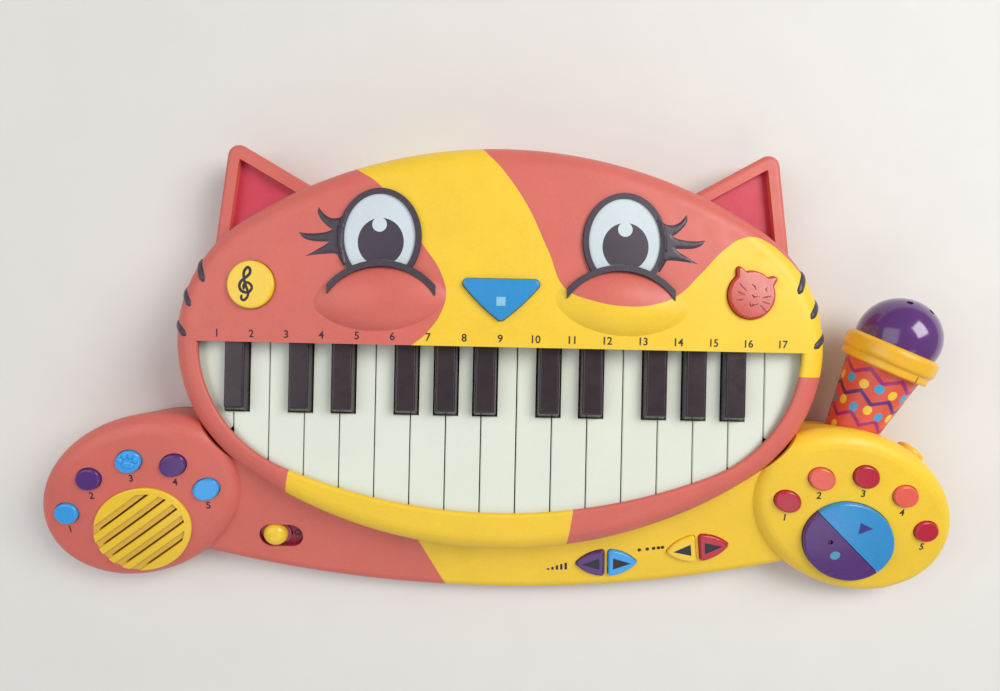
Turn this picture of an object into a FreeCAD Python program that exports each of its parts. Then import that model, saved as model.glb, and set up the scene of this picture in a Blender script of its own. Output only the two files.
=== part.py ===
"""Toy piano with a cat's face: every part, in millimetres.

The toy lies on the table with its keys upwards. +X runs along the keyboard to the right, +Y points
away from the player to the ears and +Z points up. The head is symmetrical about X = 0, the straight
upper edge of the key opening lies on Y = 0 and the underside lies on Z = 0.
"""
import FreeCAD, Part
import math
import os

from FreeCAD import Matrix, Placement, Rotation, Vector

# Shells
WALL = 2.5
FLOOR = 3.0
SPLIT_HEIGHT = 8.0
SEAM_GAP = 0.3
FOOT_STEP = 1.2
FOOT_HEIGHT = 1.4

# Head: outline of six tangent arcs under a double-curved top
HEAD_HALF_WIDTH = 192.5
HEAD_TOP_RISE = 116.5
HEAD_TOP_SIDE_RADIUS = 85.0
HEAD_CHIN_RISE = 122.0
HEAD_CHIN_SIDE_RADIUS = 91.0
HEAD_EDGE_RADIUS = 13.0
DOME_HEIGHT = 70.0
DOME_APEX_Y = 40.0
DOME_RADIUS_ACROSS = 1800.0
DOME_RADIUS_ALONG = 650.0

# Key opening: three tangent arcs under a straight edge
MOUTH_HALF_WIDTH = 176.8
MOUTH_RISE = 98.4
MOUTH_SIDE_RADIUS = 79.5
LIP_RADIUS = 2.0
FASCIA_THICKNESS = 2.0
FASCIA_BOTTOM = 60.0

# Ears
EAR_TIP = (169.5, 126.0)
EAR_OUTER_FOOT = (180.5, 34.0)
EAR_INNER_FOOT = (92.0, 82.0)
EAR_CORNER = 7.0
EAR_HEIGHT = 34.0
EAR_EDGE_RADIUS = 3.5
EAR_BORDER = 8.2
EAR_RECESS = 6.0

# Face
EYE_X = 70.0
EYE_Y = 61.5
EYE_HALF_WIDTH = 23.8
EYE_HALF_HEIGHT = 28.2
EYE_BORDER = 3.2
EYE_RIM_HEIGHT = 2.2
EYE_BALL_HEIGHT = 1.0
LID_X = 68.5
LID_Y = 7.2
LID_RADIUS = 41.0
LID_WIDTH = 3.5
LID_HALF_LENGTH = 31.0
LID_HEIGHT = 3.4
CHEEK_X = 69.0
CHEEK_Y = 26.6
CHEEK_HALF_LENGTH = 55.0
CHEEK_HALF_HEIGHT = 22.4
CHEEK_BULGE = 6.5
CHEEK_SINK = 9.0
CHEEK_TURN = 4.0

# Sloping lower body: two pods joined by a bar, all facing the player
TILT = 20.0
POD_X = 218.5
POD_Y = -96.7
POD_HEIGHT = 44.0
POD_HALF_LENGTH = 67.0
POD_HALF_WIDTH = 48.9
POD_TURN = 26.8
POD_CROWN_RADIUS = 420.0
POD_EDGE_RADIUS = 10.0
BAR_DROP = 9.0
BAR_FRONT_Y = -154.0
BAR_REAR_Y = -60.0
BAR_ARC_RADIUS = 760.0
BAR_EDGE_RADIUS = 6.5

# Keys
WHITE_NOTES = "ABCDEFGABCDEFGABC"
BLACK_SHIFT = {"A": 2.2, "C": -2.2, "D": 2.2, "F": -2.4, "G": 0.0}
KEY_PITCH = 21.0
KEY_GAP = 0.7
KEY_TOP = 51.0
KEY_DEPTH = 10.0
KEY_SKIN = 1.6
KEY_BEVEL = 0.5
KEY_CORNER = 2.2
KEY_OVERLAP = 2.6
BLACK_WIDTH = 13.8
BLACK_LENGTH = 40.8
BLACK_RISE = 7.4
BLACK_SLOPE = 2.2
BLACK_DRAFT = 1.2
BLACK_EDGE_RADIUS = 1.4
TAIL_WIDTH = 6.0
TAIL_START_Y = 8.0
TAIL_END_Y = 31.0
ROD_Y = 26.0
ROD_Z = 46.0
ROD_RADIUS = 1.5
ROD_CLEARANCE = 0.05
WHITE_SWING = 2.4
BLACK_SWING = 3.4

# Frame that carries the keys
FRAME_Z = 29.0
FRAME_THICKNESS = 3.0
FRAME_HALF_WIDTH = 178.0
FRAME_FRONT_Y = -40.0
FRAME_REAR_Y = 33.0
RIB_THICKNESS = 2.0
RIB_EVERY = 4
RIB_HEAD = 4.0
FRAME_POST_X = 110.0
FRAME_POST_Y = (-30.0, 14.0)
STRIP_FRONT_Y = -37.0
STRIP_DEPTH = 14.0
BOARD_THICKNESS = 1.6
MAIN_BOARD_Y = -75.0
MAIN_BOARD_POST_X = 52.0
MAIN_BOARD_POST_Y = 17.0
DOME_MAT_GAP = 0.5

# Push buttons
BUTTON_GAP = 0.4
FLANGE_WIDTH = 1.5
FLANGE_THICKNESS = 1.5
FLANGE_GAP = 0.3
TWIN_GAP = 0.4
STEM_RADIUS = 2.5
BUTTON_TRAVEL = 1.8
SWITCH_GAP = 0.4
SWITCH_HEIGHT = 2.0
SWITCH_RADIUS = 3.0
BUTTON_EDGE = 1.4
NOSE_CAP = 3.0
NOSE_HALF_WIDTH = 25.6
NOSE_TOP_Y = 39.2
NOSE_TIP_Y = 13.8
NOSE_CORNER = 3.2
NOSE_BULGE = 1.4
FACE_CAP = 3.0
FACE_BUTTON_X = 144.3
FACE_BUTTON_Y = 33.0
CLEF_RADIUS = 14.3
CAT_RADIUS = 14.3
CAT_TURN = -14.0
CAT_EAR_REACH = 21.5
CAT_EAR_SPREAD = 41.0
CAT_EAR_FOOT = 26.0
CAT_EAR_CORNER = 2.2
POD_BUTTON_HALF_LENGTH = 8.6
POD_BUTTON_HALF_WIDTH = 7.2
POD_BUTTON_TURN = 32.0
POD_BUTTON_CAP = 2.2
POD_BUTTON_SPOTS = ((44.0, -11.9), (26.0, 13.0), (0.2, 25.6), (-25.6, 23.3), (-43.4, 7.1))
OVAL_END = 1.06
DISC_SPOT = (-3.1, -19.4)
DISC_HALF_LENGTH = 30.8
DISC_HALF_WIDTH = 26.1
DISC_TURN = 44.5
DISC_CAP = 3.2
LED_SPOT = (-15.1, -18.1)
LED_RADIUS = 1.6
LED_DEPTH = 1.4
PAIR_HALF_LENGTH = 20.0
PAIR_HALF_HEIGHT = 10.0
PAIR_WEB = 1.6
PAIR_CORNER = 2.2
PAIR_CAP = 2.2
VOLUME_X = 69.7
VOLUME_Y = -134.5
VOLUME_TURN = 3.0
TEMPO_X = 126.1
TEMPO_Y = -123.0
TEMPO_TURN = 9.0
POD_STEM_FOOT = -10.0
FACE_STEM_LENGTH = 4.0
FACE_BOARD_HALF = 26.0
SMALL_BOARD_HALF = 5.0
RING_BOARD_HALF = 4.5
DISC_POST_REACH = 34.0
BAR_STEM_LENGTH = 3.0

# Power switch
SWITCH_X = -134.3
SWITCH_Y = -120.8
SLOT_LENGTH = 27.5
SLOT_WIDTH = 16.0
SLOT_DEPTH = 4.0
SLOT_FLOOR = 1.4
SLIT_WIDTH = 4.0
KNOB_RADIUS = 7.6
KNOB_HEIGHT = 6.5
KNOB_TRAVEL = 7.8
KNOB_PLATE_LENGTH = 19.2
KNOB_PLATE_THICKNESS = 0.8
KNOB_LIFT = 0.3
KNOB_STEM = 3.2
KNOB_FOOT_WIDTH = 8.0
KNOB_FOOT_THICKNESS = 1.4

# Microphone, its socket and the button beside it
MIC_FOOT = (218.5, -46.3, 30.0)
MIC_PLAN_ANGLE = 21.7
MIC_RISE_ANGLE = 11.0
MIC_MOUTH_RADIUS = 15.2
MIC_TAPER = 0.158
MIC_SEAT_DEPTH = 10.0
MIC_HANDLE_LENGTH = 41.8
MIC_RING_RADIUS = 25.8
MIC_RING_LENGTH = 4.0
MIC_COLLAR_RADIUS = 27.5
MIC_COLLAR_LENGTH = 11.7
MIC_DOME_RADIUS = 24.3
MIC_DOME_LIFT = 4.7
MIC_SKIN = 2.2
MIC_HOLE_RADIUS = 1.9
MIC_HOLE_RINGS = ((0.0, 1), (28.0, 5))
MIC_HOLE_TURN = 13.0
MIC_CLEARANCE = 0.4
MIC_SOCKET_WALL = 2.0
MIC_TRAVEL = 60.0
SIDE_BUTTON_ANGLE = 52.0
SIDE_BUTTON_Z = 26.5
SIDE_BUTTON_RADIUS = 9.0
SIDE_BUTTON_RISE = 5.5
SIDE_BUTTON_EDGE = 2.5

# Loudspeaker and its grille
GRILLE_SPOT = (-1.5, -21.8)
GRILLE_HALF_LENGTH = 33.2
GRILLE_HALF_WIDTH = 27.7
GRILLE_TURN = 43.0
GRILLE_RISE = 1.7
GRILLE_GAP = 0.1
GRILLE_BORDER = 3.9
GROOVES = 5
GROOVE_WIDTH = 4.7
GROOVE_PITCH = 8.9
GROOVE_DEPTH = 1.5
GROOVE_TURN = 38.2
GROOVE_SLIT = 1.1
SKIRT_DEPTH = 9.0
SPEAKER_BORDER = 2.4
SPEAKER_FLANGE = 2.0
SPEAKER_BASKET_DEPTH = 7.0
SPEAKER_MAGNET_RADIUS = 15.0
SPEAKER_MAGNET_DEPTH = 5.0

# Batteries
BATTERY_RADIUS = 7.2
BATTERY_LENGTH = 50.0
BATTERY_ROWS = 4
BATTERY_GAP = 0.5
BATTERY_WALL = 1.6
BATTERY_Y = 78.0
DOOR_THICKNESS = 2.0
DOOR_GAP = 0.4
DOOR_LEDGE = 1.6

# Screws
BOSS_RADIUS = 4.0
PAD_RADIUS = 5.2
PAD_HEIGHT = 6.0
SCREW_RADIUS = 1.5
SCREW_LENGTH = 12.0
SCREW_HEAD_RADIUS = 2.9
SCREW_HEAD_HEIGHT = 1.2
SCREW_SINK = 0.2
SCREW_FIT = 0.1
HEAD_BOSSES = ((150.0, 62.0), (-150.0, 62.0), (84.0, 90.0), (-84.0, 90.0))
BODY_BOSSES = ((161.0, -116.0), (-161.0, -116.0), (0.0, -138.0), (256.0, -128.0), (-256.0, -128.0))

# Working sizes that only have to be large enough
TALL = 140.0
DEEP = -60.0
WIDE = 700.0


def line(a, b):
    return Part.LineSegment(Vector(*a), Vector(*b)).toShape()


def arc(a, middle, b):
    return Part.Arc(Vector(*a), Vector(*middle), Vector(*b)).toShape()


def closed(edges):
    return Part.Wire(Part.__sortEdges__(edges))


def prism(wire, low, high):
    face = Part.Face(wire)
    face.translate(Vector(0, 0, low))
    return face.extrude(Vector(0, 0, high - low))


def cylinder(radius, x, y, low, high):
    return Part.makeCylinder(radius, high - low, Vector(x, y, low))


def box(x0, x1, y0, y1, z0, z1):
    return Part.makeBox(x1 - x0, y1 - y0, z1 - z0, Vector(x0, y0, z0))


def slab(low, high):
    return box(-WIDE, WIDE, -WIDE, WIDE, low, high)


def rectangle(x0, x1, y0, y1, z):
    corners = [(x0, y0), (x1, y0), (x1, y1), (x0, y1), (x0, y0)]
    return Part.makePolygon([Vector(x, y, z) for x, y in corners])


def join(shapes):
    shapes = list(shapes)
    if len(shapes) == 1:
        return shapes[0]
    return shapes[0].fuse(shapes[1:]).removeSplitter()


def placed(shape, placement):
    moved = shape.copy()
    moved.Placement = placement.multiply(moved.Placement)
    return moved


def mirrored(shape):
    return shape.mirror(Vector(0, 0, 0), Vector(1, 0, 0))


def soften(shape, radius, wanted):
    """Round the edges for which wanted(edge) holds."""
    return shape.makeFillet(radius, [edge for edge in shape.Edges if wanted(edge)])


def bevelled(shape, size, wanted):
    """Cut a flat bevel along the edges for which wanted(edge) holds."""
    return shape.makeChamfer(size, [edge for edge in shape.Edges if wanted(edge)])


def upright(edge):
    size = edge.BoundBox
    return size.ZLength > 1.0 and size.XLength < 1e-4 and size.YLength < 1e-4


def top_edges(shape):
    top = max(shape.Faces, key=lambda face: face.CenterOfMass.z)
    return top.Edges


def inset_points(points, distance):
    """Corners of a counter-clockwise polygon moved inwards by a distance."""
    moved = []
    count = len(points)
    for i in range(count):
        before, here, after = points[i - 1], points[i], points[(i + 1) % count]
        d1 = unit(before, here)
        d2 = unit(here, after)
        n1 = (-d1[1], d1[0])
        n2 = (-d2[1], d2[0])
        scale = distance / (1.0 + n1[0] * n2[0] + n1[1] * n2[1])
        moved.append((here[0] + scale * (n1[0] + n2[0]), here[1] + scale * (n1[1] + n2[1])))
    return moved


def unit(a, b):
    length = math.hypot(b[0] - a[0], b[1] - a[1])
    return ((b[0] - a[0]) / length, (b[1] - a[1]) / length)


def rounded_wire(points, radius):
    """Polygon with every corner rounded."""
    edges = []
    ends = []
    count = len(points)
    for i in range(count):
        here = points[i]
        back = unit(here, points[i - 1])
        ahead = unit(here, points[(i + 1) % count])
        half = math.acos(back[0] * ahead[0] + back[1] * ahead[1]) / 2
        run = radius / math.tan(half)
        start = (here[0] + run * back[0], here[1] + run * back[1], 0)
        end = (here[0] + run * ahead[0], here[1] + run * ahead[1], 0)
        inward = unit((0, 0), (back[0] + ahead[0], back[1] + ahead[1]))
        depth = radius / math.sin(half) - radius
        middle = (here[0] + depth * inward[0], here[1] + depth * inward[1], 0)
        edges.append(arc(start, middle, end))
        ends.append((start, end))
    for i in range(count):
        edges.append(line(ends[i - 1][1], ends[i][0]))
    return closed(edges)


def ellipse_wire(x, y, half_x, half_y):
    """Ellipse with its axes along X and Y."""
    if half_x >= half_y:
        curve = Part.Ellipse(Vector(x + half_x, y, 0), Vector(x, y + half_y, 0), Vector(x, y, 0))
    else:
        curve = Part.Ellipse(Vector(x, y + half_y, 0), Vector(x - half_x, y, 0), Vector(x, y, 0))
    return Part.Wire(curve.toShape())


def arch_edges(half_span, rise, side_radius, side):
    """Three tangent arcs from the right end of a span, over its crown, to the left end."""
    crown = (half_span ** 2 + rise ** 2 - 2 * half_span * side_radius) / (2 * (rise - side_radius))
    reach = half_span - side_radius
    lean = math.atan2(reach, crown - rise)
    half = (math.pi / 2 - lean) / 2
    joint = (reach + side_radius * math.sin(lean), side * side_radius * math.cos(lean))
    middle = (reach + side_radius * math.cos(half), side * side_radius * math.sin(half))
    return [
        arc((half_span, 0, 0), (middle[0], middle[1], 0), (joint[0], joint[1], 0)),
        arc((joint[0], joint[1], 0), (0, side * rise, 0), (-joint[0], joint[1], 0)),
        arc((-joint[0], joint[1], 0), (-middle[0], middle[1], 0), (-half_span, 0, 0)),
    ]


def head_wire(inset):
    top = arch_edges(HEAD_HALF_WIDTH - inset, HEAD_TOP_RISE - inset, HEAD_TOP_SIDE_RADIUS - inset, 1)
    chin = arch_edges(HEAD_HALF_WIDTH - inset, HEAD_CHIN_RISE - inset, HEAD_CHIN_SIDE_RADIUS - inset, -1)
    return closed(top + chin)


def mouth_wire(inset, rear_y):
    """Outline of the key opening, carried straight back to rear_y."""
    half = MOUTH_HALF_WIDTH - inset
    edges = arch_edges(half, MOUTH_RISE - inset, MOUTH_SIDE_RADIUS - inset, -1)
    if rear_y > 0:
        edges.append(line((-half, 0, 0), (-half, rear_y, 0)))
        edges.append(line((half, 0, 0), (half, rear_y, 0)))
    edges.append(line((-half, rear_y, 0), (half, rear_y, 0)))
    return closed(edges)


def dome_z(x, y, offset):
    """Height of the head's top, grown by an offset, above a point."""
    along = DOME_RADIUS_ALONG + offset
    ring = DOME_RADIUS_ACROSS - DOME_RADIUS_ALONG + math.sqrt(along ** 2 - (y - DOME_APEX_Y) ** 2)
    return DOME_HEIGHT - DOME_RADIUS_ACROSS + math.sqrt(ring ** 2 - x ** 2)


def dome_block(offset):
    """Everything under the head's double-curved top, grown by an offset."""
    reach = HEAD_CHIN_RISE + HEAD_TOP_RISE
    along = DOME_RADIUS_ALONG + offset
    top = DOME_HEIGHT + offset
    sag = along - math.sqrt(along ** 2 - reach ** 2)
    front = (0, DOME_APEX_Y - reach, top - sag)
    rear = (0, DOME_APEX_Y + reach, top - sag)
    low_front = (0, front[1], DEEP)
    low_rear = (0, rear[1], DEEP)
    face = Part.Face(closed([
        arc(front, (0, DOME_APEX_Y, top), rear),
        line(rear, low_rear),
        line(low_rear, low_front),
        line(low_front, front),
    ]))
    centre = Vector(0, 0, DOME_HEIGHT - DOME_RADIUS_ACROSS)
    swing = math.degrees(math.asin(1.1 * HEAD_HALF_WIDTH / DOME_RADIUS_ACROSS))
    face.rotate(centre, Vector(0, 1, 0), -swing)
    return face.revolve(centre, Vector(0, 1, 0), 2 * swing)


def head_body(inset, low):
    """Solid head with its rim rounded; the inside of the shell is the same body drawn smaller."""
    body = prism(head_wire(inset), low, TALL).common(dome_block(-inset))
    return soften(body, HEAD_EDGE_RADIUS - inset, lambda edge: edge.BoundBox.ZMin > low + 1)


def ear_points(inset):
    return inset_points([EAR_OUTER_FOOT, EAR_TIP, EAR_INNER_FOOT], inset)


def ear_prism(inset, low, high):
    return prism(rounded_wire(ear_points(inset), max(EAR_CORNER - inset, 0.8)), low, high)


def ear_body():
    """Hollow ear with a recessed front; its foot ends in the wall of the head."""
    ear = ear_prism(0, SPLIT_HEIGHT, EAR_HEIGHT)
    ear = ear.makeFillet(EAR_EDGE_RADIUS, top_edges(ear))
    ear = ear.cut(ear_prism(EAR_BORDER, EAR_HEIGHT - EAR_RECESS, TALL))
    hollow = ear_prism(WALL, DEEP, EAR_HEIGHT - EAR_RECESS - WALL)
    return ear.cut(hollow)


def raised(wire, height):
    """Part of the face that stands above the head's top by a height."""
    return prism(wire, SPLIT_HEIGHT, TALL).common(dome_block(height)).cut(dome_block(-WALL / 2))


def cheek_body(side):
    """Lemon-shaped bulge, flattened, its middle sunk under the head's top so that its edge runs out softly."""
    tip = (CHEEK_HALF_LENGTH, 0, 0)
    back = (-CHEEK_HALF_LENGTH, 0, 0)
    face = Part.Face(closed([arc(back, (0, CHEEK_HALF_HEIGHT, 0), tip), line(tip, back)]))
    lemon = face.revolve(Vector(0, 0, 0), Vector(1, 0, 0), 360)
    flat = Matrix()
    flat.A33 = (CHEEK_BULGE + CHEEK_SINK) / CHEEK_HALF_HEIGHT
    lemon = lemon.transformGeometry(flat)
    height = dome_z(CHEEK_X, CHEEK_Y, 0) - CHEEK_SINK
    slope = math.degrees(math.asin(CHEEK_X / DOME_RADIUS_ACROSS))
    turn = Rotation(Vector(0, 1, 0), side * slope).multiply(Rotation(Vector(0, 0, 1), -side * CHEEK_TURN))
    lemon = placed(lemon, Placement(Vector(side * CHEEK_X, CHEEK_Y, height), turn))
    return lemon.cut(dome_block(-WALL / 2))


def lid_body(side):
    """Curved band along the upper edge of a cheek."""
    x = side * LID_X
    ring = cylinder(LID_RADIUS, x, LID_Y, SPLIT_HEIGHT, TALL)
    ring = ring.cut(cylinder(LID_RADIUS - LID_WIDTH, x, LID_Y, SPLIT_HEIGHT, TALL))
    reach = math.sqrt(LID_RADIUS ** 2 - LID_HALF_LENGTH ** 2)
    span = box(x - LID_HALF_LENGTH, x + LID_HALF_LENGTH, LID_Y + 0.8 * reach, LID_Y + WIDE, 0, TALL)
    return ring.common(span).common(dome_block(LID_HEIGHT)).cut(dome_block(-WALL / 2))


def eye_body(side):
    """Raised eye: a border round a lower eyeball, ending under the lid."""
    rim = raised(ellipse_wire(side * EYE_X, EYE_Y, EYE_HALF_WIDTH, EYE_HALF_HEIGHT), EYE_RIM_HEIGHT)
    ball = ellipse_wire(side * EYE_X, EYE_Y, EYE_HALF_WIDTH - EYE_BORDER, EYE_HALF_HEIGHT - EYE_BORDER)
    pocket = prism(ball, SPLIT_HEIGHT, TALL).cut(dome_block(EYE_BALL_HEIGHT))
    lid = cylinder(LID_RADIUS - LID_WIDTH / 2, side * LID_X, LID_Y, SPLIT_HEIGHT, TALL)
    return rim.cut(pocket).cut(lid)


def pod_place(side):
    return Placement(Vector(side * POD_X, POD_Y, POD_HEIGHT), Rotation(Vector(1, 0, 0), TILT))


def pod_skin(offset):
    """Everything under a pod's crowned face, grown by an offset, in the pod's own axes."""
    return Part.makeSphere(POD_CROWN_RADIUS + offset, Vector(0, 0, -POD_CROWN_RADIUS))


def pod_prism(side, inset, low, high):
    length = POD_HALF_LENGTH - inset
    width = POD_HALF_WIDTH - inset
    turn = math.radians(-side * POD_TURN)
    centre = Vector(side * POD_X, POD_Y, 0)
    major = Vector(length * math.cos(turn), length * math.sin(turn), 0)
    minor = Vector(-width * math.sin(turn), width * math.cos(turn), 0)
    curve = Part.Ellipse(centre + major, centre + minor, centre)
    return prism(Part.Wire(curve.toShape()), low, high)


def pod_body(side, inset, low):
    """Solid pod with its rim rounded; the inside of the shell is the same body drawn smaller."""
    body = pod_prism(side, inset, low, TALL).common(placed(pod_skin(-inset), pod_place(side)))
    return soften(body, POD_EDGE_RADIUS - inset, lambda edge: edge.BoundBox.ZMin > low + 1 and not upright(edge)
                  and edge.BoundBox.XLength > POD_HALF_WIDTH)


def pod_room(side, inset):
    """Room inside a pod, in the pod's own axes."""
    return placed(pod_body(side, inset, SPLIT_HEIGHT), pod_place(side).inverse())


def bar_place(x, y, turn):
    """Axes on the bar's face at a point of the plan, turned about its normal."""
    height = POD_HEIGHT - BAR_DROP + (y - POD_Y) * math.tan(math.radians(TILT))
    face = Rotation(Vector(1, 0, 0), TILT).multiply(Rotation(Vector(0, 0, 1), turn))
    return Placement(Vector(x, y, height), face)


def bar_skin(offset):
    """Everything under the bar's flat face, grown by an offset, in the bar's own axes."""
    return box(-WIDE, WIDE, -WIDE, WIDE, -WIDE, offset)


def bar_prism(inset, low, high):
    """Outline of the bar; its rear corners lie under the head and in the pods."""
    half = POD_X - POD_HALF_WIDTH / 2
    radius = BAR_ARC_RADIUS - inset
    front = BAR_FRONT_Y + inset
    rise = radius - math.sqrt(radius ** 2 - half ** 2)
    left = (-half, front + rise, 0)
    right = (half, front + rise, 0)
    shoulder = (half, POD_Y, 0)
    rear = (POD_X - 1.3 * POD_HALF_WIDTH, BAR_REAR_Y, 0)
    edges = [
        arc(left, (0, front, 0), right),
        line(right, shoulder),
        line(shoulder, rear),
        line(rear, (-rear[0], rear[1], 0)),
        line((-rear[0], rear[1], 0), (-half, POD_Y, 0)),
        line((-half, POD_Y, 0), left),
    ]
    return prism(closed(edges), low, high)


def bar_body(inset, low):
    body = bar_prism(inset, low, TALL).common(placed(bar_skin(-inset), bar_place(0, POD_Y, 0)))
    front = BAR_FRONT_Y + POD_HALF_WIDTH
    return soften(body, BAR_EDGE_RADIUS - inset, lambda edge: edge.BoundBox.ZMin > low + 1
                  and edge.BoundBox.YMax < front and edge.BoundBox.XLength > POD_X)


def lower_body(inset, low):
    return join([bar_body(inset, low), pod_body(-1, inset, low), pod_body(1, inset, low)])


def tray_prisms(inset, low, high):
    """Whole outline of the toy: head, ears, bar and pods."""
    ear = ear_prism(inset, low, high)
    return [
        prism(head_wire(inset), low, high),
        ear,
        mirrored(ear),
        bar_prism(inset, low, high),
        pod_prism(-1, inset, low, high),
        pod_prism(1, inset, low, high),
    ]


def round_column(x, y, radius):
    """Tall round column, drawn smaller by the inset it is called with."""
    return lambda inset: cylinder(radius - inset, x, y, DEEP, TALL)


def oval_column(x, y, half_length, half_width, turn):
    """Tall oval column of tangent arcs, drawn smaller by the inset it is called with."""
    end = OVAL_END * half_width ** 2 / half_length
    def column(inset):
        sizes = (half_length - inset, half_width - inset, end - inset)
        shape = prism(closed(arch_edges(*sizes, 1) + arch_edges(*sizes, -1)), DEEP, TALL)
        return placed(shape, Placement(Vector(x, y, 0), Rotation(Vector(0, 0, 1), turn)))
    return column


def nose_column(inset):
    """Triangle with its point towards the player and two bulging sides."""
    rise = NOSE_TOP_Y - NOSE_TIP_Y
    chord = math.hypot(NOSE_HALF_WIDTH, rise)
    radius = (chord ** 2 / 4 + NOSE_BULGE ** 2) / (2 * NOSE_BULGE)
    back = (radius - NOSE_BULGE) / chord
    shape = box(-WIDE, WIDE, -WIDE, NOSE_TOP_Y - inset, DEEP, TALL)
    for side in (-1, 1):
        x = side * (NOSE_HALF_WIDTH / 2 - back * rise)
        y = (NOSE_TOP_Y + NOSE_TIP_Y) / 2 + back * NOSE_HALF_WIDTH
        shape = shape.common(cylinder(radius - inset, x, y, DEEP, TALL))
    return soften(shape, NOSE_CORNER - inset, upright)


def cat_column(inset):
    """Round face with two ears, turned a little."""
    shapes = [cylinder(CAT_RADIUS - inset, FACE_BUTTON_X, FACE_BUTTON_Y, DEEP, TALL)]
    for side in (-1, 1):
        middle = 90 + CAT_TURN - side * CAT_EAR_SPREAD
        corners = [
            polar(FACE_BUTTON_X, FACE_BUTTON_Y, 0.8 * CAT_RADIUS, middle - CAT_EAR_FOOT),
            polar(FACE_BUTTON_X, FACE_BUTTON_Y, CAT_EAR_REACH, middle),
            polar(FACE_BUTTON_X, FACE_BUTTON_Y, 0.8 * CAT_RADIUS, middle + CAT_EAR_FOOT),
        ]
        shapes.append(prism(rounded_wire(inset_points(corners, inset), CAT_EAR_CORNER - inset), DEEP, TALL))
    return join(shapes)


def polar(x, y, radius, angle):
    return (x + radius * math.cos(math.radians(angle)), y + radius * math.sin(math.radians(angle)))


def disc_column(inset):
    """The whole split disc, in the right pod's axes."""
    return oval_column(*DISC_SPOT, DISC_HALF_LENGTH, DISC_HALF_WIDTH, -DISC_TURN)(inset)


def disc_place(side):
    """Axes in the middle of the split disc, with X along the split and Y into one half."""
    turn = -DISC_TURN if side > 0 else 180 - DISC_TURN
    return Placement(Vector(*DISC_SPOT, 0), Rotation(Vector(0, 0, 1), turn))


def half_disc_column(side):
    """Half of the split disc, in the right pod's axes; side 1 is the upper right half."""
    half = placed(box(-WIDE, WIDE, TWIN_GAP / 2, WIDE, DEEP, TALL), disc_place(side))
    return lambda inset: disc_column(inset).common(half)


def split_edge(edge):
    """Whether an edge of a half disc lies along the split."""
    middle = edge.valueAt((edge.FirstParameter + edge.LastParameter) / 2)
    return abs(disc_place(1).inverse().multVec(middle).y) < TWIN_GAP


def grille_column(inset):
    """Loudspeaker grille, in the left pod's axes."""
    return oval_column(-GRILLE_SPOT[0], GRILLE_SPOT[1], GRILLE_HALF_LENGTH, GRILLE_HALF_WIDTH, GRILLE_TURN)(inset)


def pair_column(side):
    """Half of a lens-shaped pair of buttons, in the bar's axes."""
    def column(inset):
        arch = (PAIR_HALF_LENGTH ** 2 + PAIR_HALF_HEIGHT ** 2) / (2 * PAIR_HALF_HEIGHT)
        radius = arch - inset
        drop = arch - PAIR_HALF_HEIGHT
        near = PAIR_WEB / 2 + max(inset, (TWIN_GAP - PAIR_WEB) / 2)
        high = math.sqrt(radius ** 2 - near ** 2) - drop
        far = math.sqrt(radius ** 2 - drop ** 2)
        middle = (near + far) / 2
        bend = math.sqrt(radius ** 2 - middle ** 2) - drop
        edges = [
            line((side * near, high, 0), (side * near, -high, 0)),
            arc((side * near, high, 0), (side * middle, bend, 0), (side * far, 0, 0)),
            arc((side * near, -high, 0), (side * middle, -bend, 0), (side * far, 0, 0)),
        ]
        return soften(prism(closed(edges), DEEP, TALL), PAIR_CORNER - inset, upright)
    return column


def button(column, skin, cap, centre, foot, room=None, sharp=lambda edge: False):
    """Push button in its cover's axes: cap, flange behind the cover and stem down to foot.

    The flange stays inside room, where there is one. Edges for which sharp(edge) holds stay sharp.
    """
    under = -WALL - FLANGE_GAP
    below = skin(under - FLANGE_THICKNESS)
    body = column(BUTTON_GAP).common(skin(cap)).cut(below)
    body = body.makeFillet(BUTTON_EDGE, [edge for edge in top_edges(body) if not sharp(edge)])
    flange = column(-FLANGE_WIDTH).common(skin(under) if room is None else room).cut(below)
    stem = cylinder(STEM_RADIUS, centre[0], centre[1], foot, TALL).common(skin(under))
    return join([body, flange, stem])


def opening(column, skin):
    """Hole for a button, through the cover only."""
    return column(0).cut(skin(-2 * WALL))


def stadium(length, width, low, high):
    """Slot shape along X with round ends."""
    half = (length - width) / 2
    radius = width / 2
    edges = [
        line((-half, -radius, 0), (half, -radius, 0)),
        arc((half, -radius, 0), (half + radius, 0, 0), (half, radius, 0)),
        line((half, radius, 0), (-half, radius, 0)),
        arc((-half, radius, 0), (-half - radius, 0, 0), (-half, -radius, 0)),
    ]
    return prism(closed(edges), low, high)


def pod_button_spots(side):
    """Places of a pod's buttons in its axes; both pods count from the player's left."""
    spots = [(side * outwards, up) for outwards, up in POD_BUTTON_SPOTS]
    return spots if side < 0 else spots[::-1]


def mic_place():
    plan = Rotation(Vector(0, 0, 1), -MIC_PLAN_ANGLE)
    rise = Rotation(Vector(1, 0, 0), MIC_RISE_ANGLE - 90)
    return Placement(Vector(*MIC_FOOT), plan.multiply(rise))


def mic_cone(grow, low, high):
    """Length of the microphone's tapered handle, grown by a distance, in its own axes."""
    first = MIC_MOUTH_RADIUS + grow + MIC_TAPER * low
    last = MIC_MOUTH_RADIUS + grow + MIC_TAPER * high
    return Part.makeCone(first, last, high - low, Vector(0, 0, low))


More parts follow.
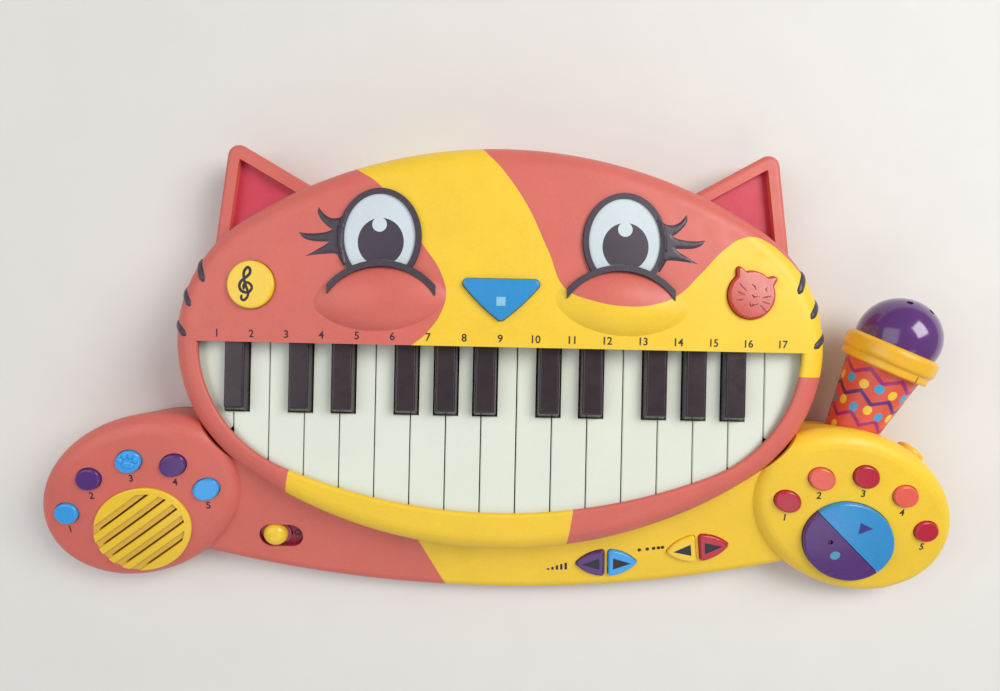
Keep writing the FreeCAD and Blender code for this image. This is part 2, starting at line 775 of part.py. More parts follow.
def side_button_place():
    """Axes of the button in the right pod's wall, pointing out of it."""
    turn = math.radians(-POD_TURN)
    lean = math.radians(SIDE_BUTTON_ANGLE) - turn
    reach = math.hypot(POD_HALF_LENGTH * math.cos(lean), POD_HALF_WIDTH * math.sin(lean))
    along = POD_HALF_LENGTH ** 2 * math.cos(lean) / reach
    across = POD_HALF_WIDTH ** 2 * math.sin(lean) / reach
    x = POD_X + along * math.cos(turn) - across * math.sin(turn)
    y = POD_Y + along * math.sin(turn) + across * math.cos(turn)
    plan = Rotation(Vector(0, 0, 1), SIDE_BUTTON_ANGLE)
    return Placement(Vector(x, y, SIDE_BUTTON_Z), plan.multiply(Rotation(Vector(0, 1, 0), 90)))


def face_foot(x, y):
    """Height of the lower end of a stem under the head's top."""
    return dome_z(x, y, -WALL) - FACE_STEM_LENGTH


def switch_drop():
    """Distance from the end of a stem down to the board under it."""
    return BUTTON_TRAVEL + SWITCH_GAP + SWITCH_HEIGHT


def nose_centre():
    return (0.0, (2 * NOSE_TOP_Y + NOSE_TIP_Y) / 3)


def face_buttons():
    """Name, column and centre of the three buttons on the head."""
    return [
        ("nose_button", nose_column, nose_centre(), NOSE_CAP),
        ("clef_button", round_column(-FACE_BUTTON_X, FACE_BUTTON_Y, CLEF_RADIUS),
         (-FACE_BUTTON_X, FACE_BUTTON_Y), FACE_CAP),
        ("cat_button", cat_column, (FACE_BUTTON_X, FACE_BUTTON_Y), FACE_CAP),
    ]


def pod_buttons(side):
    name = "instrument_button" if side < 0 else "rhythm_button"
    found = []
    for index, (x, y) in enumerate(pod_button_spots(side)):
        column = oval_column(x, y, POD_BUTTON_HALF_LENGTH, POD_BUTTON_HALF_WIDTH, -side * POD_BUTTON_TURN)
        found.append((f"{name}_{index + 1}", column, (x, y), POD_BUTTON_CAP))
    return found


def disc_centre(side):
    """Middle of one half of the split disc, in the pod's axes."""
    return polar(*DISC_SPOT, side * DISC_HALF_WIDTH / 2, 90 - DISC_TURN)


def disc_buttons():
    return [
        ("play_button", half_disc_column(1), disc_centre(1), DISC_CAP),
        ("record_button", half_disc_column(-1), disc_centre(-1), DISC_CAP),
    ]


def pair_places():
    return [
        ("volume", bar_place(VOLUME_X, VOLUME_Y, VOLUME_TURN)),
        ("tempo", bar_place(TEMPO_X, TEMPO_Y, TEMPO_TURN)),
    ]


def pair_buttons():
    """The two halves of a pair, in the pair's axes."""
    reach = PAIR_HALF_LENGTH / 2.4
    return [("down", pair_column(-1), (-reach, 0.0)), ("up", pair_column(1), (reach, 0.0))]


def pair_foot():
    return -WALL - FLANGE_GAP - FLANGE_THICKNESS - BAR_STEM_LENGTH


def switch_place():
    return bar_place(SWITCH_X, SWITCH_Y, 0)


def screw_hole(x, y, low):
    """Pilot hole for a screw, from low upwards."""
    top = SCREW_SINK + SCREW_HEAD_HEIGHT + SCREW_LENGTH + SCREW_RADIUS
    return cylinder(SCREW_RADIUS + SCREW_FIT / 2, x, y, low, top)


def bosses(spots, outer):
    """Screw bosses from the pads of the rear cover up into a cover's wall."""
    shapes = []
    for x, y in spots:
        boss = cylinder(BOSS_RADIUS, x, y, PAD_HEIGHT, TALL).common(outer)
        shapes.append(boss.cut(screw_hole(x, y, DEEP)))
    return shapes


def face_posts():
    """Posts that hang a small board under each button of the head: x, y and the board's top."""
    posts = []
    for name, column, centre, cap in face_buttons():
        top = face_foot(*centre) - switch_drop()
        for side in (-1, 1):
            posts.append((centre[0] + side * FACE_BOARD_HALF, centre[1], top))
    return posts


def neighbours(items):
    return list(zip(items[:-1], items[1:]))


def pod_posts(side):
    """Posts that hang the boards of a pod: x, y and the board's top, in the pod's axes."""
    low = POD_STEM_FOOT - switch_drop()
    posts = []
    for first, second in neighbours(POD_BUTTON_SPOTS)[:-1]:
        posts.append((side * (first[0] + second[0]) / 2, (first[1] + second[1]) / 2, low))
    if side > 0:
        posts.append((DISC_SPOT[0] - DISC_POST_REACH, DISC_SPOT[1], low))
        posts.append((DISC_SPOT[0] + DISC_POST_REACH, DISC_SPOT[1], low))
    return posts


def pair_posts():
    reach = PAIR_HALF_LENGTH + FLANGE_WIDTH + 1.4 * STEM_RADIUS
    low = pair_foot() - switch_drop()
    return [(-reach, 0.0, low), (reach, 0.0, low)]


def slide_posts():
    reach = SLOT_LENGTH / 2 + WALL + 1.2 * STEM_RADIUS
    low = -SLOT_DEPTH - SLOT_FLOOR - FLANGE_GAP - KNOB_FOOT_THICKNESS - SWITCH_GAP
    return [(-reach, 0.0, low), (reach, 0.0, low)]


def lip_edge(edge):
    """Whether an edge lies on the head's top along the curved side of the key opening."""
    size = edge.BoundBox
    x, y, z = edge.valueAt((edge.FirstParameter + edge.LastParameter) / 2)
    inside = max(-size.XMin, size.XMax) < MOUTH_HALF_WIDTH + 0.1 and size.YMax < 0.1 and y < -1
    return inside and abs(z - dome_z(x, y, 0)) < 0.1


def build_head_cover():
    outer = head_body(0, SPLIT_HEIGHT).cut(prism(mouth_wire(0, 0), KEY_TOP, TALL))
    ear = ear_body().cut(head_body(WALL / 2, DEEP))
    lower = SPLIT_HEIGHT - WALL
    cover = soften(outer, LIP_RADIUS, lip_edge).cut(head_body(WALL, lower))
    inside = head_body(WALL / 2, lower)
    half = MOUTH_HALF_WIDTH + FASCIA_THICKNESS
    fascia = box(-half, half, 0, FASCIA_THICKNESS, FASCIA_BOTTOM, TALL)
    details = [fascia.common(inside), ear, mirrored(ear)]
    for side in (-1, 1):
        details.append(eye_body(side))
        details.append(cheek_body(side))
        details.append(lid_body(side))
    details += bosses(HEAD_BOSSES, inside)
    for x, y, low in face_posts():
        details.append(cylinder(STEM_RADIUS, x, y, low, TALL).common(inside))
    cover = join([cover] + details)
    for name, column, centre, cap in face_buttons():
        cover = cover.cut(opening(column, dome_block))
    return cover


def build_body_cover():
    outer = lower_body(0, SPLIT_HEIGHT)
    cover = outer.cut(lower_body(WALL, SPLIT_HEIGHT - WALL))
    inside = lower_body(WALL / 2, SPLIT_HEIGHT)
    details = bosses(BODY_BOSSES, inside)
    left = pod_place(-1)
    right = pod_place(1)
    skirt = grille_column(-SPEAKER_BORDER).cut(grille_column(-FLANGE_WIDTH / 2)).common(slab(-SKIRT_DEPTH, TALL))
    details.append(placed(skirt, left).common(inside))
    for side, place in ((-1, left), (1, right)):
        for x, y, low in pod_posts(side):
            details.append(placed(cylinder(STEM_RADIUS, x, y, low, TALL), place).common(inside))
    for name, place in pair_places():
        for x, y, low in pair_posts():
            details.append(placed(cylinder(STEM_RADIUS, x, y, low, TALL), place).common(inside))
    for x, y, low in slide_posts():
        details.append(placed(cylinder(STEM_RADIUS, x, y, low, TALL), switch_place()).common(inside))
    cup = stadium(SLOT_LENGTH + 2 * WALL, SLOT_WIDTH + 2 * WALL, -SLOT_DEPTH - SLOT_FLOOR, TALL)
    details.append(placed(cup, switch_place()).common(inside))
    wall = MIC_CLEARANCE + MIC_SOCKET_WALL
    socket = mic_cone(wall, -MIC_SEAT_DEPTH - wall, MIC_HANDLE_LENGTH)
    details.append(placed(socket, mic_place()).common(inside))
    cover = join([cover] + details)
    cover = cover.cut(placed(mic_cone(MIC_CLEARANCE, -MIC_SEAT_DEPTH - MIC_CLEARANCE, TALL), mic_place()))
    cover = cover.cut(placed(stadium(SLOT_LENGTH, SLOT_WIDTH, -SLOT_DEPTH, TALL), switch_place()))
    slit = stadium(KNOB_TRAVEL + SLIT_WIDTH + 2 * BUTTON_GAP, SLIT_WIDTH, DEEP, TALL)
    cover = cover.cut(placed(slit, switch_place()))
    cover = cover.cut(placed(grille_column(0).common(slab(-SKIRT_DEPTH, TALL)), left))
    for side, place in ((-1, left), (1, right)):
        for name, column, centre, cap in pod_buttons(side):
            cover = cover.cut(placed(opening(column, pod_skin), place))
    cover = cover.cut(placed(opening(disc_column, pod_skin), right))
    for name, place in pair_places():
        for half, column, centre in pair_buttons():
            cover = cover.cut(placed(opening(column, bar_skin), place))
    cover = cover.cut(placed(cylinder(SIDE_BUTTON_RADIUS, 0, 0, -3 * WALL, TALL), side_button_place()))
    return cover.cut(prism(head_wire(-SEAM_GAP), DEEP, TALL))


def screw_spots():
    """Every screw that enters from below: x and y."""
    frame = [(side * FRAME_POST_X, y) for side in (-1, 1) for y in FRAME_POST_Y]
    return list(HEAD_BOSSES) + list(BODY_BOSSES) + frame


def battery_box():
    """Half length and half width of the battery space."""
    half_length = BATTERY_LENGTH / 2 + BATTERY_WALL
    half_width = BATTERY_ROWS * (BATTERY_RADIUS + BATTERY_GAP / 2) + BATTERY_GAP
    return half_length, half_width


def door_screw_x():
    """The boss of the door screw stands half in the end wall of the battery space."""
    return battery_box()[0] + BATTERY_WALL / 2 + BOSS_RADIUS


def door_half_length():
    return door_screw_x() + BOSS_RADIUS


def build_rear_cover():
    outer = join(tray_prisms(0, FOOT_HEIGHT, SPLIT_HEIGHT))
    foot = join(tray_prisms(FOOT_STEP, 0, FOOT_HEIGHT))
    cover = join([outer, foot]).cut(join(tray_prisms(WALL, FLOOR, TALL)))
    half_length, half_width = battery_box()
    side = half_length + BATTERY_WALL
    end = half_width + BATTERY_WALL
    top = FLOOR + 2 * BATTERY_RADIUS
    walls = box(-side, side, BATTERY_Y - end, BATTERY_Y + end, FLOOR / 2, top)
    details = [walls, cylinder(BOSS_RADIUS, door_screw_x(), BATTERY_Y, FLOOR / 2, top)]
    for x, y in screw_spots():
        details.append(cylinder(PAD_RADIUS, x, y, FLOOR / 2, PAD_HEIGHT))
    for x, y in main_board_posts():
        details.append(cylinder(BOSS_RADIUS, x, y, FLOOR / 2, PAD_HEIGHT))
    cover = join([cover] + details)
    cover = cover.cut(box(-half_length, half_length, BATTERY_Y - half_width, BATTERY_Y + half_width, DEEP, TALL))
    door = door_half_length() + DOOR_GAP
    width = half_width + DOOR_LEDGE + DOOR_GAP
    cover = cover.cut(box(-door, door, BATTERY_Y - width, BATTERY_Y + width, DEEP, DOOR_THICKNESS))
    cover = cover.cut(screw_hole(door_screw_x(), BATTERY_Y, DEEP))
    for x, y in screw_spots():
        cover = cover.cut(cylinder(SCREW_RADIUS + 2 * SCREW_FIT, x, y, DEEP, TALL))
        cover = cover.cut(cylinder(SCREW_HEAD_RADIUS + 2 * SCREW_FIT, x, y, DEEP, SCREW_SINK + SCREW_HEAD_HEIGHT))
    return cover


def build_battery_door():
    half_length = door_half_length()
    half_width = battery_box()[1] + DOOR_LEDGE
    door = box(-half_length, half_length, BATTERY_Y - half_width, BATTERY_Y + half_width, 0, DOOR_THICKNESS)
    door = soften(door, BOSS_RADIUS / 2, upright)
    x = door_screw_x()
    door = door.cut(cylinder(SCREW_RADIUS + 2 * SCREW_FIT, x, BATTERY_Y, DEEP, TALL))
    return door.cut(cylinder(SCREW_HEAD_RADIUS + 2 * SCREW_FIT, x, BATTERY_Y, DEEP, SCREW_SINK + SCREW_HEAD_HEIGHT))


def build_screws():
    spots = screw_spots() + [(door_screw_x(), BATTERY_Y)]
    return Part.makeCompound([one_screw(x, y) for x, y in spots])


def one_screw(x, y):
    """Screw with a cross slot, its head downwards."""
    low = SCREW_SINK
    head_top = low + SCREW_HEAD_HEIGHT
    head = cylinder(SCREW_HEAD_RADIUS, x, y, low, head_top)
    shank = cylinder(SCREW_RADIUS, x, y, head_top, head_top + SCREW_LENGTH)
    long = 0.62 * SCREW_HEAD_RADIUS
    thin = 0.14 * SCREW_HEAD_RADIUS
    cross = join([
        box(x - long, x + long, y - thin, y + thin, DEEP, low + SCREW_HEAD_HEIGHT / 2),
        box(x - thin, x + thin, y - long, y + long, DEEP, low + SCREW_HEAD_HEIGHT / 2),
    ])
    return join([head, shank]).cut(cross)


def build_speaker_grille():
    """Oval disc with a flange behind the cover; its grooves run out at one rim and have a slit along one side."""
    below = pod_skin(-WALL - FLANGE_THICKNESS)
    disc = grille_column(GRILLE_GAP).common(pod_skin(GRILLE_RISE)).cut(below)
    disc = disc.makeFillet(GRILLE_RISE / 2, top_edges(disc))
    flange = grille_column(GRILLE_GAP - FLANGE_WIDTH / 2).common(pod_room(-1, WALL + GRILLE_GAP)).cut(below)
    grille = join([disc, flange])
    field = grille_column(GRILLE_BORDER)
    floor = pod_skin(GRILLE_RISE - GROOVE_DEPTH)
    turn = Placement(Vector(-GRILLE_SPOT[0], GRILLE_SPOT[1], 0), Rotation(Vector(0, 0, 1), GROOVE_TURN))
    for index in range(GROOVES):
        low = (index - (GROOVES - 1) / 2) * GROOVE_PITCH - GROOVE_WIDTH / 2
        high = low + GROOVE_WIDTH
        groove = join([
            placed(box(-WIDE, 0, low, high, DEEP, TALL), turn),
            placed(box(-GROOVE_WIDTH, WIDE, low, high, DEEP, TALL), turn).common(field),
        ])
        slit = placed(box(-WIDE, WIDE, low, low + GROOVE_SLIT, DEEP, TALL), turn).common(field)
        grille = grille.cut(groove.cut(floor)).cut(slit)
    return placed(grille, pod_place(-1))


def build_speaker():
    top = -SKIRT_DEPTH
    flange_low = top - SPEAKER_FLANGE
    basket_low = flange_low - SPEAKER_BASKET_DEPTH
    x, y = -GRILLE_SPOT[0], GRILLE_SPOT[1]
    rim = GRILLE_HALF_WIDTH - SPEAKER_FLANGE
    flange = grille_column(-SPEAKER_BORDER).common(slab(flange_low, top))
    basket = Part.makeCone(SPEAKER_MAGNET_RADIUS, rim, SPEAKER_BASKET_DEPTH, Vector(x, y, basket_low))
    magnet = cylinder(SPEAKER_MAGNET_RADIUS, x, y, basket_low - SPEAKER_MAGNET_DEPTH, basket_low)
    speaker = join([flange, basket, magnet])
    deep = 0.6 * SPEAKER_BASKET_DEPTH + SPEAKER_FLANGE
    cone = Part.makeCone(SPEAKER_MAGNET_RADIUS / 2, rim, deep, Vector(x, y, top - deep))
    cap = Part.makeSphere(SPEAKER_MAGNET_RADIUS / 2, Vector(x, y, top - deep))
    return placed(join([speaker.cut(cone), cap]), pod_place(-1))


def boundary_x(index):
    """X of the line on the left of a white key."""
    return (index - len(WHITE_NOTES) / 2) * KEY_PITCH


def black_spots():
    """Index of the white key on the right and middle line of each black key."""
    found = []
    for index in range(1, len(WHITE_NOTES)):
        note = WHITE_NOTES[index - 1]
        if note in BLACK_SHIFT:
            found.append((index, boundary_x(index) + BLACK_SHIFT[note]))
    return found


def white_sides(index):
    """Left and right side of a white key at its front; the outer two reach under the lip."""
    edge = MOUTH_HALF_WIDTH + KEY_OVERLAP
    left = -edge if index == 0 else boundary_x(index) + KEY_GAP / 2
    right = edge if index == len(WHITE_NOTES) - 1 else boundary_x(index + 1) - KEY_GAP / 2
    return left, right


def white_strip(index):
    """Left and right side of a white key between its black neighbours."""
    left, right = white_sides(index)
    for place, middle in black_spots():
        if place == index:
            left = middle + BLACK_WIDTH / 2 + KEY_GAP
        if place == index + 1:
            right = middle - BLACK_WIDTH / 2 - KEY_GAP
    return left, right


def tail_middles():
    """Middle lines of all tails from left to right."""
    whites = [sum(white_strip(index)) / 2 for index in range(len(WHITE_NOTES))]
    return sorted(whites + [middle for place, middle in black_spots()])


def rod_bore(radius):
    return Part.makeCylinder(radius, WIDE, Vector(-WIDE / 2, ROD_Y, ROD_Z), Vector(1, 0, 0))


def key_tail(middle):
    low = KEY_TOP - KEY_DEPTH
    half = TAIL_WIDTH / 2
    return box(middle - half, middle + half, TAIL_START_Y - KEY_SKIN, TAIL_END_Y, low, KEY_TOP - KEY_SKIN / 2)


def build_white_key(index):
    low = KEY_TOP - KEY_DEPTH
    front_y = -BLACK_LENGTH - KEY_GAP
    left, right = white_sides(index)
    strip_left, strip_right = white_strip(index)
    far = -MOUTH_RISE - KEY_OVERLAP
    room = prism(mouth_wire(-KEY_OVERLAP, TAIL_END_Y), DEEP, TALL)
    key = join([
        box(left, right, far, front_y, low, KEY_TOP),
        box(strip_left, strip_right, front_y - KEY_SKIN, TAIL_START_Y, low, KEY_TOP),
    ]).common(room)
    inner = [side for side in (left, right) if abs(side) < MOUTH_HALF_WIDTH]
    key = soften(key, KEY_CORNER, lambda edge: upright(edge) and edge.BoundBox.YMax < front_y - KEY_CORNER
                 and min(abs(edge.BoundBox.XMin - side) for side in inner) < 0.01)
    key = bevelled(key, KEY_BEVEL, lambda edge: edge.BoundBox.ZMin > KEY_TOP - 0.1
                   and edge.BoundBox.YMax < TAIL_START_Y - 0.1)
    skin = KEY_SKIN
    hollow = join([
        box(left + skin, right - skin, far, front_y - skin, DEEP, KEY_TOP - skin),
        box(strip_left + skin, strip_right - skin, front_y - 2 * skin, TAIL_START_Y - skin, DEEP, KEY_TOP - skin),
    ]).common(prism(mouth_wire(skin - KEY_OVERLAP, TAIL_END_Y), DEEP, TALL))
    key = join([key.cut(hollow), key_tail((strip_left + strip_right) / 2)])
    return key.cut(rod_bore(ROD_RADIUS + ROD_CLEARANCE))


def build_black_key(middle):
    low = KEY_TOP - KEY_DEPTH
    top = KEY_TOP + BLACK_RISE
    left = middle - BLACK_WIDTH / 2
    right = left + BLACK_WIDTH
    foot = rectangle(left, right, -BLACK_LENGTH, TAIL_START_Y, KEY_TOP)
    face = rectangle(left + BLACK_DRAFT, right - BLACK_DRAFT, BLACK_SLOPE - BLACK_LENGTH, TAIL_START_Y, top)
    block = Part.makeLoft([foot, face], True, True)
    key = join([box(left, right, -BLACK_LENGTH, TAIL_START_Y, low, KEY_TOP), block])
    key = soften(key, BLACK_EDGE_RADIUS, lambda edge: edge.BoundBox.ZMax > top - 0.1
                 and edge.BoundBox.ZMin > KEY_TOP - 0.1 and edge.BoundBox.YMin < TAIL_START_Y - 1)
    hollow = box(left + KEY_SKIN, right - KEY_SKIN, KEY_SKIN - BLACK_LENGTH, TAIL_START_Y - KEY_SKIN, DEEP, KEY_TOP)
    key = join([key.cut(hollow), key_tail(middle)])
    return key.cut(rod_bore(ROD_RADIUS + ROD_CLEARANCE))


def rib_middles():
    tails = tail_middles()
    outside = TAIL_WIDTH / 2 + RIB_THICKNESS
    middles = [tails[0] - outside, tails[-1] + outside]
    for index in range(RIB_EVERY - 1, len(tails) - 1, RIB_EVERY):
        middles.append((tails[index] + tails[index + 1]) / 2)
    return sorted(middles)


def build_key_frame():
    """Plate on four posts, with ribs that carry the steel rod of the keys."""
    top = FRAME_Z + FRAME_THICKNESS
    half = FRAME_HALF_WIDTH
    shapes = [box(-half, half, FRAME_FRONT_Y, FRAME_REAR_Y, FRAME_Z, top)]
    for middle in rib_middles():
        left = middle - RIB_THICKNESS / 2
        shapes.append(box(left, left + RIB_THICKNESS, ROD_Y - RIB_HEAD, ROD_Y + RIB_HEAD, FRAME_Z, ROD_Z + RIB_HEAD))
    for side in (-1, 1):
        for y in FRAME_POST_Y:
            shapes.append(cylinder(BOSS_RADIUS, side * FRAME_POST_X, y, PAD_HEIGHT, top))
    frame = join(shapes).cut(rod_bore(ROD_RADIUS + ROD_CLEARANCE))
    for side in (-1, 1):
        for y in FRAME_POST_Y:
            frame = frame.cut(screw_hole(side * FRAME_POST_X, y, DEEP))
    middles = rib_middles()
    start = middles[0] - RIB_THICKNESS
    length = middles[-1] + RIB_THICKNESS - start
    rod = Part.makeCylinder(ROD_RADIUS, length, Vector(start, ROD_Y, ROD_Z), Vector(1, 0, 0))
    return Part.makeCompound([frame, rod])


def main_board_posts():
    xs = (-MAIN_BOARD_POST_X, MAIN_BOARD_POST_X)
    ys = (MAIN_BOARD_Y - MAIN_BOARD_POST_Y, MAIN_BOARD_Y + MAIN_BOARD_POST_Y)
    return [(x, y) for x in xs for y in ys]


def hanging_board(posts, half_width):
    """Board under a pair of posts, with its top at their lower ends."""
    left, y, low = posts[0]
    right = posts[1][0]
    return box(left - STEM_RADIUS, right + STEM_RADIUS, y - half_width, y + half_width, low - BOARD_THICKNESS, low)


def switch_body(x, y, low):
    return cylinder(SWITCH_RADIUS, x, y, low, low + SWITCH_HEIGHT)


def ring_board(side):
    """Bent board under the buttons of a pod."""
    low = POD_STEM_FOOT - switch_drop()
    spots = pod_button_spots(side)
    parts = [switch_body(x, y, low) for x, y in spots]
    for first, second in neighbours(spots):
        run = (second[0] - first[0], second[1] - first[1])
        strip = stadium(math.hypot(*run) + 2 * RING_BOARD_HALF, 2 * RING_BOARD_HALF, low - BOARD_THICKNESS, low)
        middle = Vector((first[0] + second[0]) / 2, (first[1] + second[1]) / 2, 0)
        turn = Rotation(Vector(0, 0, 1), math.degrees(math.atan2(run[1], run[0])))
        parts.append(placed(strip, Placement(middle, turn)))
    return join(parts)


def build_electronics():
    """Boards with their switches, the contact strip of the keys and the batteries, as separate solids."""
    solids = []
    for side in (-1, 1):
        solids.append(placed(ring_board(side), pod_place(side)))
    low = POD_STEM_FOOT - switch_drop()
    disc_parts = [hanging_board(pod_posts(1)[-2:], SMALL_BOARD_HALF)]
    middle_x, middle_y = DISC_SPOT
    for side in (-1, 1):
        x, y = disc_centre(side)
        disc_parts.append(cylinder(1.6 * SWITCH_RADIUS, x, y, low - BOARD_THICKNESS, low))
        disc_parts.append(box(min(x, middle_x), max(x, middle_x), min(y, middle_y), max(y, middle_y),
                              low - BOARD_THICKNESS, low))
        disc_parts.append(switch_body(x, y, low))
    solids.append(placed(join(disc_parts), pod_place(1)))
    for name, place in pair_places():
        parts = [hanging_board(pair_posts(), SMALL_BOARD_HALF)]
        for half, column, centre in pair_buttons():
            parts.append(switch_body(centre[0], centre[1], pair_foot() - switch_drop()))
        solids.append(placed(join(parts), place))
    solids.append(placed(hanging_board(slide_posts(), SMALL_BOARD_HALF), switch_place()))
    posts = face_posts()
    for index, (name, column, centre, cap) in enumerate(face_buttons()):
        pair = posts[2 * index:2 * index + 2]
        solids.append(join([hanging_board(pair, SMALL_BOARD_HALF), switch_body(centre[0], centre[1], pair[0][2])]))
    top = FRAME_Z + FRAME_THICKNESS
    half = MOUTH_HALF_WIDTH - 2 * KEY_PITCH / 3
    rear = STRIP_FRONT_Y + STRIP_DEPTH
    mat_low = top + BOARD_THICKNESS
    dip = (ROD_Y - STRIP_FRONT_Y) * math.sin(math.radians(BLACK_SWING))
    mat_top = KEY_TOP - KEY_DEPTH - dip - DOME_MAT_GAP
    solids.append(box(-half, half, STRIP_FRONT_Y, rear, top, mat_low))
    mat = [box(-half, half, STRIP_FRONT_Y, rear, mat_low, mat_low + FLANGE_THICKNESS)]
    for x in tail_middles():
        if abs(x) < half - SWITCH_RADIUS:
            mat.append(cylinder(SWITCH_RADIUS, x, (STRIP_FRONT_Y + rear) / 2, mat_low, mat_top))
    solids.append(join(mat))
    xs = [x for x, y in main_board_posts()]
    ys = [y for x, y in main_board_posts()]
    edge = BOSS_RADIUS
    solids.append(box(min(xs) - edge, max(xs) + edge, min(ys) - edge, max(ys) + edge,
                      PAD_HEIGHT, PAD_HEIGHT + BOARD_THICKNESS))
    pitch = 2 * BATTERY_RADIUS + BATTERY_GAP
    for row in range(BATTERY_ROWS):
        y = BATTERY_Y + (row - (BATTERY_ROWS - 1) / 2) * pitch
        start = Vector(-BATTERY_LENGTH / 2, y, DOOR_THICKNESS + BATTERY_RADIUS)
        solids.append(Part.makeCylinder(BATTERY_RADIUS, BATTERY_LENGTH, start, Vector(1, 0, 0)))
    return Part.makeCompound(solids)


def build_power_switch():
    """Domed knob on a plate in its slot, at the left end, with a stem and a foot behind the slot's floor."""
    floor = -SLOT_DEPTH
    low = floor + KNOB_LIFT
    knob = cylinder(KNOB_RADIUS, 0, 0, low, low + KNOB_HEIGHT)
    knob = knob.makeFillet(0.7 * KNOB_RADIUS, top_edges(knob))
    foot_top = floor - SLOT_FLOOR - FLANGE_GAP
    half = KNOB_STEM / 2
    stem = box(-half, half, -half, half, foot_top - KNOB_FOOT_THICKNESS, low + 1)
    wide = KNOB_FOOT_WIDTH / 2
    foot = box(-wide, wide, -wide, wide, foot_top - KNOB_FOOT_THICKNESS, foot_top)
    plate = stadium(KNOB_PLATE_LENGTH, SLOT_WIDTH - 2 * BUTTON_GAP, low, low + KNOB_PLATE_THICKNESS)
    knob = join([knob, plate, stem, foot])
    knob.translate(Vector(-KNOB_TRAVEL / 2, 0, 0))
    return placed(knob, switch_place())


def build_mic_handle():
    """Tapered handle with a ring and a collar, hollow."""
    end = MIC_HANDLE_LENGTH
    ring_end = end + MIC_RING_LENGTH
    collar_end = ring_end + MIC_COLLAR_LENGTH
    ring = cylinder(MIC_RING_RADIUS, 0, 0, end, ring_end + WALL)
    ring = soften(ring, MIC_RING_LENGTH / 3, lambda edge: edge.BoundBox.ZMax < end + 0.1)
    collar = cylinder(MIC_COLLAR_RADIUS, 0, 0, ring_end, collar_end)
    collar = soften(collar, MIC_COLLAR_LENGTH / 3.2, lambda edge: edge.BoundBox.ZLength < 0.1)
    handle = join([mic_cone(0, -MIC_SEAT_DEPTH, end + WALL), ring, collar])
    handle = handle.cut(mic_cone(-MIC_SKIN, MIC_SKIN - MIC_SEAT_DEPTH, end + WALL))
    handle = handle.cut(cylinder(MIC_DOME_RADIUS - MIC_SKIN, 0, 0, ring_end, TALL))
    return placed(handle, mic_place())


def build_mic_head():
    """Ball on the microphone's collar, cut off there, hollow, with rings of holes."""
    base = MIC_HANDLE_LENGTH + MIC_RING_LENGTH + MIC_COLLAR_LENGTH
    middle = Vector(0, 0, base + MIC_DOME_LIFT)
    dome = Part.makeSphere(MIC_DOME_RADIUS, middle).cut(Part.makeSphere(MIC_DOME_RADIUS - MIC_SKIN, middle))
    dome = dome.common(cylinder(WIDE, 0, 0, base, TALL))
    for lean, count in MIC_HOLE_RINGS:
        for index in range(count):
            hole = cylinder(MIC_HOLE_RADIUS, 0, 0, 0, TALL)
            hole.rotate(Vector(0, 0, 0), Vector(0, 1, 0), lean)
            hole.rotate(Vector(0, 0, 0), Vector(0, 0, 1), MIC_HOLE_TURN + 360 * index / count)
            hole.translate(middle)
            dome = dome.cut(hole)
    return placed(dome, mic_place())


def build_mic_button():
    """Round button in the wall of the right pod, with a flange behind the wall."""
    place = side_button_place()
    under = WALL + FLANGE_GAP
    cap = cylinder(SIDE_BUTTON_RADIUS - BUTTON_GAP, 0, 0, -3 * WALL, SIDE_BUTTON_RISE)
    cap = soften(cap, SIDE_BUTTON_EDGE, lambda edge: edge.BoundBox.ZMin > SIDE_BUTTON_RISE - 0.1)
    inside = pod_prism(1, under + FLANGE_THICKNESS, DEEP, TALL)
    flange = placed(cylinder(SIDE_BUTTON_RADIUS + FLANGE_WIDTH, 0, 0, -3 * WALL, TALL), place)
    flange = flange.common(pod_prism(1, under, DEEP, TALL))
    return join([placed(cap, place), flange]).cut(inside)


def build_disc_button(column, centre, cap, with_hole):
    shape = button(column, pod_skin, cap, centre, POD_STEM_FOOT, pod_room(1, WALL + FLANGE_GAP), split_edge)
    if with_hole:
        hole = cylinder(LED_RADIUS, *LED_SPOT, DEEP, TALL).cut(pod_skin(cap - LED_DEPTH))
        shape = shape.cut(hole)
    return placed(shape, pod_place(1))


def build_all():
    """Every node and its shape."""
    parts = {
        "head_cover": build_head_cover(),
        "body_cover": build_body_cover(),
        "rear_cover": build_rear_cover(),
        "battery_door": build_battery_door(),
        "screws": build_screws(),
        "speaker_grille": build_speaker_grille(),
        "speaker": build_speaker(),
        "key_frame": build_key_frame(),
        "electronics": build_electronics(),
        "power_switch": build_power_switch(),
        "mic_handle": build_mic_handle(),
        "mic_head": build_mic_head(),
        "mic_button": build_mic_button(),
    }
    for index in range(len(WHITE_NOTES)):
        parts[f"white_key_{index + 1:02d}"] = build_white_key(index)
    for index, (place, middle) in enumerate(black_spots()):
        parts[f"black_key_{index + 1:02d}"] = build_black_key(middle)
    for name, column, centre, cap in face_buttons():
        parts[name] = button(column, dome_block, cap, centre, face_foot(*centre))
    for side in (-1, 1):
        for name, column, centre, cap in pod_buttons(side):
            shape = button(column, pod_skin, cap, centre, POD_STEM_FOOT)
            parts[name] = placed(shape, pod_place(side))
    for name, column, centre, cap in disc_buttons():
        parts[name] = build_disc_button(column, centre, cap, name == "record_button")
    for pair, place in pair_places():
        for half, column, centre in pair_buttons():
            shape = button(column, bar_skin, PAIR_CAP, centre, pair_foot())
            parts[f"{pair}_{half}_button"] = placed(shape, place)
    return parts


def main():
    os.makedirs("parts", exist_ok=True)
    for name, shape in build_all().items():
        shape.exportStep(f"parts/{name}.step")


if __name__ == "__main__":
    main()
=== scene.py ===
"""Looks of the toy piano: finishes, prints, raised marks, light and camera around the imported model."""

import math

import bpy
import numpy as np
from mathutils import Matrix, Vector
from mathutils.bvhtree import BVHTree
from mathutils.geometry import delaunay_2d_cdt


